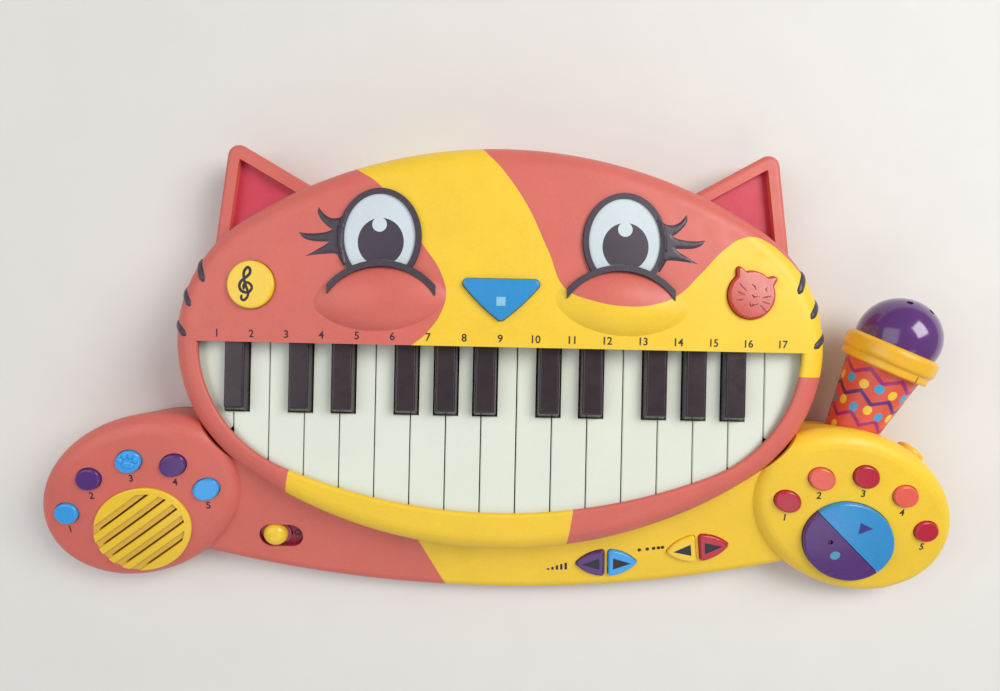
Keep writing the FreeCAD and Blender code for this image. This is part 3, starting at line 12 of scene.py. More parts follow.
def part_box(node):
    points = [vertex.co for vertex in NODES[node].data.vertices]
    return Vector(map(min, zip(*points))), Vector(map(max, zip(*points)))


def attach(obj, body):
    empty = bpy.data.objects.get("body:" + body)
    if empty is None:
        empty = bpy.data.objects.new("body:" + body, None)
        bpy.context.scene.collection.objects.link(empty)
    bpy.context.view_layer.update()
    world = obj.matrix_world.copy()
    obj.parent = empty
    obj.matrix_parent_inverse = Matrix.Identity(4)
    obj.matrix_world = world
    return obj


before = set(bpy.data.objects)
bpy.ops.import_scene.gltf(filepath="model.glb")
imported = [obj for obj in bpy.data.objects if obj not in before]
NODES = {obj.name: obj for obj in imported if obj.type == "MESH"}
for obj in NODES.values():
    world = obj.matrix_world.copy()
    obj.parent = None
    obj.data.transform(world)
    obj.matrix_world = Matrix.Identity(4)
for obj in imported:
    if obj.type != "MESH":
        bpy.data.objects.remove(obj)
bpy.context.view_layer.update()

# Lengths below are in millimetres in the toy's own frame, and become metres here
MM = 0.001

# Colours as they look, red, green and blue from 0 to 255
SALMON = (214, 106, 94)
YELLOW = (245, 203, 50)
DARK = (66, 56, 68)
EYE_WHITE = (207, 219, 224)
EAR_PINK = (206, 56, 80)
SLOT_RED = (150, 36, 62)
SKY = (56, 162, 236)
BLUE = (48, 146, 208)
PURPLE = (84, 42, 116)
DOME_PURPLE = (92, 48, 116)
RED = (186, 26, 54)
CORAL = (232, 98, 80)
CAT_RED = (194, 62, 46)
CAT_LINE_RED = (150, 44, 38)
BUTTON_ORANGE = (248, 194, 52)
# Duller yellow painted as shade on the grille's recessed groove floors
GROOVE_SHADE_YELLOW = (228, 184, 66)
KEY_WHITE = (226, 231, 216)
KEY_BLACK = (52, 40, 45)
UNDERSIDE = (190, 86, 78)
INK = (44, 34, 44)
ARROW_INK = (36, 36, 52)
PLAY_INK = (58, 50, 130)
RECORD_INK = (84, 158, 190)
STOP_INK = (140, 202, 226)
LAMP_GLASS = (52, 22, 48)
MIC_ORANGE = (242, 184, 48)
# Brown painted as the shade in the notch of the microphone's ring
MIC_NOTCH_SHADE = (150, 92, 24)
MIC_CORAL = (226, 92, 70)
MIC_PLUM = (168, 44, 118)
MIC_VIOLET = (98, 52, 116)
MIC_DOT_YELLOW = (246, 205, 62)
MIC_DOT_BLUE = (70, 166, 214)
FRAME_GREY = (196, 192, 184)
BOARD_GREEN = (40, 96, 62)
CONE_GREY = (58, 56, 58)
STEEL_GREY = (176, 176, 180)
DUST_PALE = (226, 218, 208)
FLOOR_PALE = (226, 223, 218)

SIDES = ((-1, "left"), (1, "right"))

# Eyes and lids, given for the right half of the head
EYE_X = 70.0
EYE_Y = 61.5
EYE_HALF_WIDTH = 23.8
EYE_HALF_HEIGHT = 28.2
EYE_BORDER = 3.2
EYE_MARGIN = 0.25
BALL_MARGIN = 0.1
PUPIL_X = 69.9
PUPIL_Y = 58.6
PUPIL_HALF_WIDTH = 13.2
PUPIL_HALF_HEIGHT = 13.8
PUPIL_SHIFT = 0.6
PUPIL_LID_GAP = 0.3
EYE_LIGHT_X = 70.2
EYE_LIGHT_Y = 68.6
EYE_LIGHT_RADIUS = 4.2
EYE_LIGHT_HEIGHT = 0.2
LID_X = 68.5
LID_Y = 7.2
LID_RADIUS = 41.0
LID_LINE_WIDTH = 3.5
LID_HALF_WIDTH = 31.0
LID_PAINT_END = 0.77
LID_INNER_MARGIN = 0.15
LID_OUTER_MARGIN = 0.2
LASH_HEIGHT = 0.7
LASH_ROUNDING = 0.9
LASH_FINENESS = 4
WHISKER_WIDTHS = (4.0, 4.3, 4.0)
WHISKER_HEIGHT = 1.0

# Paint of the head: the upper line of the mouth, the yellow patches and the ears. A slanting edge is an x,
# the y where it is met and the x gained per y
FACE_LOW = 50.0
BROW_LINE = -0.6
RIM_PATCH_LOW = -14.0
CHIN_TOP = -40.0
CHIN_LEFT = (-123.3, -76.2, 0.225)
CHIN_RIGHT = (45.0, -96.8, 0.13)
EAR_CORNERS = ((169.5, 126.0), (92.0, 82.0), (180.5, 34.0))
EAR_BORDER = 8.2
EAR_MARGIN = 0.4
EAR_FLOOR = 28.0
EAR_FLOOR_MARGIN = 0.6

# Pods, grille and sloping bar
TILT = math.radians(20.0)
POD_X = 218.5
POD_Y = -96.7
POD_Z = 44.0
POD_CROWN_RADIUS = 420.0
GRILLE_MIDDLE_RISE = 0.95
GRILLE_EDGE = 0.3
BAR_HEIGHT = 35.0
BODY_SPLIT = (-48.7, -121.8, -0.558)
SWITCH_X = -134.3
SWITCH_Y = -120.8
SWITCH_LENGTH = 27.5
SWITCH_WIDTH = 16.0
SWITCH_PLATE = -2.9
SWITCH_PLATE_MARGIN = 0.2
SLOT_TOP = -1.0
SLOT_FLOOR = 4.0
SLOT_END_MARGIN = 1.0
SLOT_SIDE_MARGIN = 2.0

# Microphone: a band is a height and a colour, a dot a height, a radius, a shift in pitches and a colour
MIC_FOOT = (218.5, -46.3, 30.0)
MIC_PLAN = math.radians(21.7)
MIC_RISE = math.radians(11.0)
MIC_HANDLE_END = 41.8
MIC_COLLAR_MARGIN = 0.1
MIC_RING_LENGTH = 4.0
# Place and width of the painted shade line across the ring's notch
MIC_NOTCH_TURN = -0.185
MIC_NOTCH_HALF = 0.003
MIC_NOTCH_EDGE = 0.002
MIC_REPEATS = 7
MIC_PRINT_RADIUS = 20.0
MIC_BAND_HEIGHT = 5.5
MIC_BAND_HALF = 1.3
MIC_BANDS = ((6.0, MIC_PLUM), (20.0, MIC_VIOLET), (34.0, MIC_PLUM))
MIC_DOTS = ((0.0, 2.6, 0.5, MIC_DOT_YELLOW), (14.8, 2.8, 0.0, MIC_DOT_BLUE),
            (16.2, 2.8, 0.5, MIC_DOT_YELLOW), (29.8, 2.8, 0.0, MIC_DOT_YELLOW),
            (30.4, 2.8, 0.5, MIC_DOT_BLUE))

# Numbers and signs: places are x and y, and for the pairs of buttons a turn
KEY_COUNT = 17
KEY_PITCH = 21.0
KEY_NUMBER_SPREAD = 0.98
KEY_NUMBER_Y = 4.9
KEY_NUMBER_SIZE = 6.2
KEY_NUMBER_BOLD = 0.1
POD_BUTTONS = 5
POD_NUMBER_DROP = 11.8
POD_NUMBER_SIZE = 6.0
POD_NUMBER_BOLD = 0.12
NUMBER_HEIGHT = 0.1
NUMBER_SINK = 0.2
NUMBER_RESOLUTION = 4
CLEF_PLACE = (-146.6, 33.2)
CLEF_WIDTHS = (1.6, 1.9, 1.6)
CLEF_HEIGHT = 0.22
CAT_PLACE = (144.3, 33.0)
CAT_LINE_WIDTHS = (0.5, 0.95, 0.5)
CAT_LINE_HEIGHT = 0.4
CAT_NOSE_HEIGHT = 0.5
CAT_NOSE_ROUNDING = 0.6
PAW_SHIFT = 0.6
PAW_DROP = 9.8
PAW_HEIGHT = 0.95
PAW_ROUNDING = 1.5
VOLUME_TURN = math.radians(3.0)
TEMPO_TURN = math.radians(9.0)
PAIRS = (("volume", (69.7, -134.5, VOLUME_TURN)), ("tempo", (126.1, -123.0, TEMPO_TURN)))
PAIR_CAP = 2.2
ARROW_BASE = 4.3
ARROW_TIP = 15.2
ARROW_HALF = 4.1
BARS_PLACE = (39.0, -138.2, VOLUME_TURN)
BAR_COUNT = 5
BAR_FIRST = -6.4
BAR_FOOT = -2.4
BAR_PITCH = 2.8
BAR_WIDTH = 1.5
BAR_LEAST = 1.2
BAR_GAIN = 0.95
DOTS_PLACE = (97.6, -124.4, TEMPO_TURN)
DOT_SPOTS = (-7.6, -2.6, 1.4, 4.4, 6.9)
DOT_RADIUS = 1.15
SWITCH_SIGN_SHIFT = 9.4
SWITCH_SIGN_RADII = (2.2, 1.2)
SWITCH_SIGN_HEIGHT = 0.1
PLAY_PLACE = (222.4, -104.9)
RECORD_PLACE = (207.8, -123.4)
RECORD_RADIUS = 3.0
LAMP_PLACE = (203.4, -114.6)
LAMP_RADIUS = 1.45
LAMP_HEIGHT = 0.9
LAMP_ROUNDING = 1.3
STOP_HALF = 2.6
STOP_LOW = 23.4
STOP_HIGH = 28.4

# How prints and raised marks lie on the parts
PRINT_HEIGHT = 0.12
SHEET_SINK = 0.25
ROUND_EDGE_SHARE = 0.25
GRID_CLEARANCE = 0.45
MERGE_DISTANCE = 1e-6
LEAST_LENGTH = 1e-12
SHARP_ANGLE = math.radians(50)
BEAD_STEPS = 7
BEAD_SINK = 0.05
BEAD_ROOT = 0.3
BEAD_END_RISE = 0.2
BEAD_END_WIDTH = 0.35
RAY_HEIGHT = 200.0
MISS_HEIGHT = 50.0

# Stage, in metres: a light is a name, a place, a size, watts and a colour
FLOOR_REACH = 6.0
WORLD_COLOUR = (0.92, 0.95, 1.0, 1.0)
WORLD_STRENGTH = 0.3
LIGHT_AIM = (0.0, 0.0, 0.03)
LIGHTS = (
    ("key_light", (1.0, 0.55, 1.25), (0.9, 0.9), 20.0, (1.0, 0.98, 0.95)),
    ("fill_light", (-1.1, 0.2, 1.3), (1.4, 1.4), 9.5, (0.97, 0.98, 1.0)),
    ("front_light", (0.1, -1.3, 1.2), (1.6, 0.9), 5.0, (1.0, 1.0, 1.0)),
)
CAMERA_PLACE = (0.0, 0.0009, 0.521)
CAMERA_TURN = math.radians(1.2)
CAMERA_LENS = 28.48
CAMERA_SENSOR = 36.0
CAMERA_NEAR = 0.01


def linear(channel):
    """Linear share of a colour channel, by the sRGB curve."""
    value = channel / 255
    if value <= 0.04045:
        return value / 12.92
    return ((value + 0.055) / 1.055) ** 2.4


def rgba(colour):
    return tuple(linear(channel) for channel in colour) + (1.0,)


class Shader:
    """One material and the few kinds of node that the finishes here are made of."""

    SOFT_EDGE = 0.25
    CLOUD_SIZE = 38.0
    FINE_SIZE = 1.6
    SPECK_SIZE = 1.1
    SPECK_RANGE = (0.66, 0.76)
    GLOSS_SIZE = 9.0
    GLOSS_DOWN = 0.06
    GLOSS_UP = 0.07
    GRAIN_STRENGTH = 0.35
    COAT_ROUGHNESS = 0.12
    # Where a mix node keeps its colours among its sockets
    FIRST_COLOUR = 6
    SECOND_COLOUR = 7
    MIXED_COLOUR = 2

    def __init__(self, name):
        self.material = bpy.data.materials.new(name)
        self.material.use_nodes = True
        self.tree = self.material.node_tree
        self.tree.nodes.clear()
        output = self.add("ShaderNodeOutputMaterial")
        self.surface = self.add("ShaderNodeBsdfPrincipled")
        self.link(self.surface.outputs["BSDF"], output.inputs["Surface"])
        self.place = self.add("ShaderNodeTexCoord").outputs["Object"]
        self.axes = None

    def add(self, kind):
        return self.tree.nodes.new(kind)

    def link(self, out, into):
        self.tree.links.new(out, into)

    def put(self, socket, value):
        if isinstance(value, bpy.types.NodeSocket):
            self.link(value, socket)
        else:
            socket.default_value = value

    def xyz(self):
        """Sockets of the three coordinates, in millimetres."""
        if self.axes is None:
            scaled = self.add("ShaderNodeVectorMath")
            scaled.operation = "SCALE"
            self.link(self.place, scaled.inputs[0])
            scaled.inputs["Scale"].default_value = 1 / MM
            split = self.add("ShaderNodeSeparateXYZ")
            self.link(scaled.outputs[0], split.inputs[0])
            self.axes = [split.outputs[i] for i in range(3)]
        return self.axes

    def math(self, operation, *values):
        node = self.add("ShaderNodeMath")
        node.operation = operation
        for socket, value in zip(node.inputs, values):
            self.put(socket, value)
        return node.outputs[0]

    def above(self, value, limit, soft=SOFT_EDGE):
        """1 where the value is over the limit and 0 under it, with a narrow soft edge."""
        over = self.math("SUBTRACT", value, limit)
        node = self.add("ShaderNodeMapRange")
        self.link(over, node.inputs["Value"])
        node.inputs["From Min"].default_value = -soft / 2
        node.inputs["From Max"].default_value = soft / 2
        return node.outputs["Result"]

    def below(self, value, limit, soft=SOFT_EDGE):
        return self.math("SUBTRACT", 1.0, self.above(value, limit, soft))

    def both(self, *masks):
        found = masks[0]
        for mask in masks[1:]:
            found = self.math("MULTIPLY", found, mask)
        return found

    def either(self, *masks):
        found = masks[0]
        for mask in masks[1:]:
            found = self.math("MAXIMUM", found, mask)
        return found

    def gap(self, value, middle):
        """Distance of a value from a middle, whichever side it is on."""
        return self.math("ABSOLUTE", self.math("SUBTRACT", value, middle))

    def square_sum(self, first, second):
        return self.math("ADD", self.math("POWER", first, 2.0), self.math("POWER", second, 2.0))

    def sloped(self, value, line):
        """Height at a value of the line through a point: its height, its place and its slope."""
        height, place, slope = line
        return self.math("ADD", self.math("MULTIPLY", self.math("SUBTRACT", value, place), slope), height)

    def follow(self, value, points):
        """Height of the smooth curve through the points at a value."""
        xs = [p[0] for p in points]
        ys = [p[1] for p in points]
        x0, x1, y0, y1 = min(xs), max(xs), min(ys), max(ys)
        share = self.math("DIVIDE", self.math("SUBTRACT", value, x0), x1 - x0)
        node = self.add("ShaderNodeFloatCurve")
        self.link(share, node.inputs["Value"])
        mapping = node.mapping
        mapping.use_clip = False
        curve = mapping.curves[0]
        places = sorted(((x - x0) / (x1 - x0), (y - y0) / (y1 - y0)) for x, y in points)
        while len(curve.points) < len(places):
            curve.points.new(0.5, 0.5)
        for point, place in zip(curve.points, places):
            point.location = place
            point.handle_type = "AUTO"
        mapping.update()
        return self.math("ADD", self.math("MULTIPLY", node.outputs["Value"], y1 - y0), y0)

    def noise(self, size, detail=3.0, rough=0.55):
        """Cloudy value whose patches are about this many millimetres wide."""
        node = self.add("ShaderNodeTexNoise")
        self.link(self.place, node.inputs["Vector"])
        node.inputs["Scale"].default_value = 1 / (size * MM)
        node.inputs["Detail"].default_value = detail
        node.inputs["Roughness"].default_value = rough
        return node.outputs["Fac"]

    def spread(self, value, low, high, start=0.3, end=0.7):
        """Value from low to high while the given one goes from start to end."""
        node = self.add("ShaderNodeMapRange")
        self.link(value, node.inputs["Value"])
        node.inputs["From Min"].default_value = start
        node.inputs["From Max"].default_value = end
        node.inputs["To Min"].default_value = low
        node.inputs["To Max"].default_value = high
        return node.outputs["Result"]

    def mix(self, share, first, second, blend="MIX"):
        node = self.add("ShaderNodeMix")
        node.data_type = "RGBA"
        node.blend_type = blend
        self.put(node.inputs["Factor"], share)
        self.put(node.inputs[self.FIRST_COLOUR], first)
        self.put(node.inputs[self.SECOND_COLOUR], second)
        return node.outputs[self.MIXED_COLOUR]

    def finish(self, colour, rough=0.4, cloud=0.05, grain=0.35, grain_height=0.02, dust=0.06, coat=0.0):
        """Moulded plastic: clouded colour, a little dust, uneven gloss and a fine grain."""
        tone = self.spread(self.noise(self.CLOUD_SIZE), 1 - cloud, 1 + cloud)
        fine = self.spread(self.noise(self.FINE_SIZE, detail=2.0), 1 - cloud / 2, 1 + cloud / 2)
        value = self.math("MULTIPLY", tone, fine)
        grey = self.add("ShaderNodeCombineColor")
        for socket in grey.inputs[:3]:
            self.link(value, socket)
        painted = self.mix(1.0, colour, grey.outputs[0], "MULTIPLY")
        specks = self.spread(self.noise(self.SPECK_SIZE, detail=1.0, rough=0.4), 0.0, dust, *self.SPECK_RANGE)
        painted = self.mix(specks, painted, rgba(DUST_PALE))
        self.link(painted, self.surface.inputs["Base Color"])
        uneven = self.noise(self.GLOSS_SIZE, detail=4.0)
        gloss = self.spread(uneven, rough - self.GLOSS_DOWN, rough + self.GLOSS_UP)
        self.link(gloss, self.surface.inputs["Roughness"])
        bump = self.add("ShaderNodeBump")
        bump.inputs["Strength"].default_value = self.GRAIN_STRENGTH
        bump.inputs["Distance"].default_value = grain_height * MM
        self.link(self.noise(grain, detail=2.0), bump.inputs["Height"])
        self.link(bump.outputs["Normal"], self.surface.inputs["Normal"])
        if coat:
            self.surface.inputs["Coat Weight"].default_value = coat
            self.surface.inputs["Coat Roughness"].default_value = self.COAT_ROUGHNESS
        return self.material


def plastic(name, colour, **values):
    return Shader(name).finish(rgba(colour), **values)


def in_eye(shader, side, y, margin):
    """1 inside the oval of an eye made larger by a margin."""
    across = shader.math("DIVIDE", shader.math("SUBTRACT", side, EYE_X), EYE_HALF_WIDTH + margin)
    along = shader.math("DIVIDE", shader.math("SUBTRACT", y, EYE_Y), EYE_HALF_HEIGHT + margin)
    return shader.below(shader.square_sum(across, along), 1.0, soft=0.01)


def half_plane(shader, x, y, a, b, limit):
    """1 on the left of the line from a to b, further from it than a limit."""
    length = math.dist(a, b)
    nx, ny = -(b[1] - a[1]) / length, (b[0] - a[0]) / length
    across = shader.math("ADD", shader.math("MULTIPLY", x, nx), shader.math("MULTIPLY", y, ny))
    return shader.above(across, a[0] * nx + a[1] * ny + limit)


def yellow_of_head(s):
    """1 on the yellow patches: over the mouth, at its right end and on the chin."""
    left_edge = [(0.7, -49.8), (9.5, -40.2), (21.6, -33.0), (30.2, -31.4), (41.5, -34.5), (56.8, -44.6),
                 (91.6, -70.8), (100.3, -83.3), (112.0, -100.0)]
    upper_edge = [(-30.0, 140.0), (-9.8, 112.0), (-1.6, 103.3), (13.2, 82.7), (26.8, 54.8), (38.1, 32.8),
                  (50.8, 27.6), (72.2, 24.4), (88.3, 26.2), (101.0, 31.5), (114.0, 43.8), (130.2, 60.4),
                  (139.6, 65.9), (146.1, 66.7), (154.4, 64.1), (164.0, 57.5), (176.0, 46.0), (192.5, 26.0)]
    x, y = s.xyz()[:2]
    over_mouth = s.above(y, BROW_LINE)
    face = s.both(over_mouth, s.above(x, s.follow(y, left_edge)), s.below(y, s.follow(x, upper_edge)))
    right_rim = s.both(s.above(x, 0.0), s.above(y, RIM_PATCH_LOW))
    chin = s.both(s.below(y, CHIN_TOP), s.above(x, s.sloped(y, CHIN_LEFT)),
                  s.below(x, s.sloped(y, CHIN_RIGHT)))
    lip = s.both(s.math("SUBTRACT", 1.0, over_mouth), s.either(right_rim, chin))
    return s.either(face, lip)


def head_material():
    """Salmon head with its yellow patches, dark eye borders, white eyeballs and pink ear floors."""
    s = Shader("head_finish")
    x, y, z = s.xyz()
    side = s.math("ABSOLUTE", x)
    colour = s.mix(yellow_of_head(s), rgba(SALMON), rgba(YELLOW))

    on_face = s.above(z, FACE_LOW)
    from_lid = s.gap(side, LID_X)
    lid_gap = s.math("SQRT", s.square_sum(from_lid, s.math("SUBTRACT", y, LID_Y)))
    border = s.both(in_eye(s, side, y, EYE_MARGIN), s.above(lid_gap, LID_RADIUS - LID_LINE_WIDTH / 2))
    lid_end = LID_Y + LID_PAINT_END * math.sqrt(LID_RADIUS ** 2 - LID_HALF_WIDTH ** 2)
    lid_line = s.both(s.above(lid_gap, LID_RADIUS - LID_LINE_WIDTH - LID_INNER_MARGIN),
                      s.below(lid_gap, LID_RADIUS + LID_OUTER_MARGIN),
                      s.below(from_lid, LID_HALF_WIDTH + LID_OUTER_MARGIN), s.above(y, lid_end))
    colour = s.mix(s.both(on_face, s.either(border, lid_line)), colour, rgba(DARK))
    ball = s.both(on_face, in_eye(s, side, y, -EYE_BORDER - BALL_MARGIN),
                  s.above(lid_gap, LID_RADIUS + BALL_MARGIN))
    colour = s.mix(ball, colour, rgba(EYE_WHITE))

    inset = EAR_BORDER - EAR_MARGIN
    inside = [half_plane(s, side, y, EAR_CORNERS[i - 1], EAR_CORNERS[i], inset) for i in range(3)]
    floor = s.both(s.below(s.gap(z, EAR_FLOOR), EAR_FLOOR_MARGIN), *inside)
    colour = s.mix(floor, colour, rgba(EAR_PINK))
    return s.finish(colour, **SATIN)


def grille_material():
    """Yellow grille whose groove floors get painted shade, a duller yellow than its ribs."""
    s = Shader("grille_finish")
    radius = POD_CROWN_RADIUS
    crown_middle = (-POD_X, POD_Y + radius * math.sin(TILT), POD_Z - radius * math.cos(TILT))
    node = s.add("ShaderNodeVectorMath")
    node.operation = "DISTANCE"
    s.link(s.place, node.inputs[0])
    node.inputs[1].default_value = tuple(c * MM for c in crown_middle)
    rise = s.math("SUBTRACT", s.math("DIVIDE", node.outputs["Value"], MM), radius)
    # Painted shade: the groove floors, lower than the ribs, are coloured a duller yellow where shade falls in
    # the grooves
    colour = s.mix(s.below(rise, GRILLE_MIDDLE_RISE, GRILLE_EDGE), rgba(YELLOW), rgba(GROOVE_SHADE_YELLOW))
    return s.finish(colour, rough=0.3, cloud=0.03, dust=0.03, coat=0.2)


def over_bar(shader):
    """Socket of the height over the bar's sloping face, in millimetres."""
    y, z = shader.xyz()[1:]
    slope = shader.math("MULTIPLY", shader.math("SUBTRACT", y, POD_Y), math.tan(TILT))
    return shader.math("SUBTRACT", shader.math("SUBTRACT", z, slope), BAR_HEIGHT)


def switch_material():
    """Yellow knob on a deep red plate."""
    s = Shader("switch_finish")
    plate = s.below(over_bar(s), SWITCH_PLATE / math.cos(TILT) + SWITCH_PLATE_MARGIN, soft=0.1)
    colour = s.mix(plate, rgba(YELLOW), rgba(SLOT_RED))
    return s.finish(colour, rough=0.28, cloud=0.03, dust=0.03, coat=0.25)


def body_material():
    """Lower body: left part salmon, right part yellow, and a deep red floor in the switch slot."""
    s = Shader("body_finish")
    x, y = s.xyz()[:2]
    colour = s.mix(s.above(x, s.sloped(y, BODY_SPLIT)), rgba(SALMON), rgba(YELLOW))
    slot = s.both(s.below(over_bar(s), SLOT_TOP, soft=0.4),
                  s.below(s.gap(x, SWITCH_X), SWITCH_LENGTH / 2 + SLOT_END_MARGIN),
                  s.below(s.gap(y, SWITCH_Y), SWITCH_WIDTH / 2 + SLOT_SIDE_MARGIN))
    colour = s.mix(slot, colour, rgba(SLOT_RED))
    return s.finish(colour, **SATIN)


def mic_axes():
    """Foot, direction and two cross axes of the microphone."""
    level = math.cos(MIC_RISE)
    direction = Vector((math.sin(MIC_PLAN) * level, math.cos(MIC_PLAN) * level, math.sin(MIC_RISE)))
    across = Vector((math.cos(MIC_PLAN), -math.sin(MIC_PLAN), 0.0))
    return Vector(MIC_FOOT), direction, across, direction.cross(across)


def along_axis(shader, origin, axis):
    """Socket of the distance along an axis from an origin, in millimetres."""
    node = shader.add("ShaderNodeVectorMath")
    node.operation = "DOT_PRODUCT"
    shader.link(shader.place, node.inputs[0])
    node.inputs[1].default_value = tuple(axis / MM)
    return shader.math("SUBTRACT", node.outputs["Value"], origin.dot(axis))


def mic_material():
    """Orange collar and a handle printed with zigzag bands and dots."""
    s = Shader("mic_finish")
    origin, direction, across, up = mic_axes()
    height = along_axis(s, origin, direction)
    angle = s.math("ARCTAN2", along_axis(s, origin, up), along_axis(s, origin, across))
    turn = s.math("DIVIDE", angle, math.tau)
    colour = rgba(MIC_CORAL)
    zigzag = s.math("PINGPONG", s.math("MULTIPLY", turn, 2.0 * MIC_REPEATS), 1.0)
    for low, tone in MIC_BANDS:
        gap = s.gap(s.math("SUBTRACT", height, low), s.math("MULTIPLY", zigzag, MIC_BAND_HEIGHT))
        colour = s.mix(s.below(gap, MIC_BAND_HALF), colour, rgba(tone))
    for low, radius, shift, tone in MIC_DOTS:
        cell = s.math("FRACT", s.math("ADD", s.math("MULTIPLY", turn, float(MIC_REPEATS)), shift))
        wide = s.math("MULTIPLY", s.math("SUBTRACT", cell, 0.5), math.tau * MIC_PRINT_RADIUS / MIC_REPEATS)
        away = s.math("SQRT", s.square_sum(wide, s.math("SUBTRACT", height, low)))
        colour = s.mix(s.below(away, radius), colour, rgba(tone))
    colour = s.mix(s.above(height, MIC_HANDLE_END - MIC_COLLAR_MARGIN), colour, rgba(MIC_ORANGE))
    on_ring = s.both(s.above(height, MIC_HANDLE_END), s.below(height, MIC_HANDLE_END + MIC_RING_LENGTH))
    # Painted shade: a thin brown line across the ring stands in for the shadow in its notch
    notch_shade = s.below(s.gap(turn, MIC_NOTCH_TURN), MIC_NOTCH_HALF, MIC_NOTCH_EDGE)
    colour = s.mix(s.both(on_ring, notch_shade), colour, rgba(MIC_NOTCH_SHADE))
    return s.finish(colour, rough=0.3, cloud=0.04, grain=0.5, grain_height=0.012, dust=0.03)


def steel():
    s = Shader("steel")
    s.finish(rgba(STEEL_GREY), rough=0.34, cloud=0.06, grain=0.2, grain_height=0.01, dust=0.0)
    s.surface.inputs["Metallic"].default_value = 1.0
    return s.material


# Finishes of the moulded parts
SATIN = {"rough": 0.46, "cloud": 0.045, "grain": 0.45, "grain_height": 0.03}
GLOSSY = {"rough": 0.26, "cloud": 0.03, "dust": 0.03, "coat": 0.25}
INK_FINISH = plastic("ink", INK, rough=0.5, cloud=0.08, dust=0.01)
ARROW_FINISH = plastic("arrow_print", ARROW_INK, rough=0.4, cloud=0.06, dust=0.02)
DARK_FINISH = plastic("dark_relief", DARK, rough=0.38, cloud=0.06, dust=0.015)
EYE_FINISH = plastic("eye_white", EYE_WHITE, rough=0.35, cloud=0.02, dust=0.02)
SKY_FINISH = plastic("sky_blue", SKY, **GLOSSY)
BLUE_FINISH = plastic("mid_blue", BLUE, **GLOSSY)
PURPLE_FINISH = plastic("purple", PURPLE, rough=0.26, cloud=0.05, dust=0.015, coat=0.25)
DOME_FINISH = plastic("purple_dome", DOME_PURPLE, rough=0.14, cloud=0.04, grain_height=0.006, dust=0.02,
                      coat=0.6)
RED_FINISH = plastic("red", RED, rough=0.26, cloud=0.04, dust=0.015, coat=0.25)
CORAL_FINISH = plastic("coral", CORAL, **GLOSSY)
CAT_FINISH = plastic("cat_red", CAT_RED, rough=0.24, cloud=0.03, dust=0.03, coat=0.35)
CAT_LINE_FINISH = plastic("cat_lines", CAT_LINE_RED, rough=0.24, cloud=0.03, coat=0.35)
YELLOW_FINISH = plastic("yellow", YELLOW, **GLOSSY)
ORANGE_FINISH = plastic("orange_yellow", BUTTON_ORANGE, rough=0.34, cloud=0.03)
WHITE_KEY_FINISH = plastic("white_key", KEY_WHITE, rough=0.2, cloud=0.02, grain=0.8, grain_height=0.008,
                           dust=0.02)
BLACK_KEY_FINISH = plastic("black_key", KEY_BLACK, rough=0.28, cloud=0.06, grain=0.5, grain_height=0.012,
                           dust=0.015)
REAR_FINISH = plastic("underside", UNDERSIDE, rough=0.55, cloud=0.06, grain=0.7, grain_height=0.05, dust=0.1)
FRAME_FINISH = plastic("inner_frame", FRAME_GREY, rough=0.5, cloud=0.05)
BOARD_FINISH = plastic("board", BOARD_GREEN, rough=0.4, cloud=0.1)
CONE_FINISH = plastic("speaker_cone", CONE_GREY, rough=0.6, cloud=0.12, grain=0.6, grain_height=0.06)
PLAY_FINISH = plastic("play_print", PLAY_INK, rough=0.4)
RECORD_FINISH = plastic("record_print", RECORD_INK, rough=0.4)
STOP_FINISH = plastic("stop_print", STOP_INK, rough=0.4)
LAMP_FINISH = plastic("lamp", LAMP_GLASS, rough=0.12, cloud=0.02, dust=0.0, coat=0.6)
FLOOR_FINISH = plastic("floor", FLOOR_PALE, rough=0.7, cloud=0.01, dust=0.0)

FINISHES = {
    "head_cover": head_material(),
    "body_cover": body_material(),
    "rear_cover": REAR_FINISH,
    "battery_door": REAR_FINISH,
    "screws": steel(),
    "speaker_grille": grille_material(),
    "speaker": CONE_FINISH,
    "key_frame": FRAME_FINISH,
    "electronics": BOARD_FINISH,
    "power_switch": switch_material(),
    "mic_handle": mic_material(),
    "mic_head": DOME_FINISH,
    "mic_button": ORANGE_FINISH,
    "nose_button": BLUE_FINISH,
    "clef_button": YELLOW_FINISH,
    "cat_button": CAT_FINISH,
    "play_button": BLUE_FINISH,
    "record_button": PURPLE_FINISH,
    "volume_down_button": PURPLE_FINISH,
    "volume_up_button": SKY_FINISH,
    "tempo_down_button": YELLOW_FINISH,
    "tempo_up_button": RED_FINISH,
}
for index in range(1, POD_BUTTONS + 1):
    FINISHES[f"instrument_button_{index}"] = SKY_FINISH if index % 2 else PURPLE_FINISH
    FINISHES[f"rhythm_button_{index}"] = RED_FINISH if index % 2 else CORAL_FINISH


def dress_nodes():
    for name, node in NODES.items():
        finish = FINISHES.get(name)
        if name.startswith("white_key"):
            finish = WHITE_KEY_FINISH
        if name.startswith("black_key"):
            finish = BLACK_KEY_FINISH
        node.data.materials.clear()
        node.data.materials.append(finish)


TREES = {}


def tree_of(name):
    """Search tree of a node's faces, made once."""
    if name not in TREES:
        mesh = NODES[name].data
        points = [v.co.copy() for v in mesh.vertices]
        TREES[name] = BVHTree.FromPolygons(points, [tuple(p.vertices) for p in mesh.polygons])
    return TREES[name]


def surface_hit(name, x, y):
    """Highest point of a node over x and y, or the nearest one to a miss, and its normal, in millimetres."""
    tree = tree_of(name)
    place, normal = tree.ray_cast(Vector((x * MM, y * MM, RAY_HEIGHT * MM)), Vector((0, 0, -1)))[:2]
    if place is None:
        place, normal = tree.find_nearest(Vector((x * MM, y * MM, MISS_HEIGHT * MM)))[:2]
    if normal.z < 0:
        normal = -normal
    return place / MM, normal


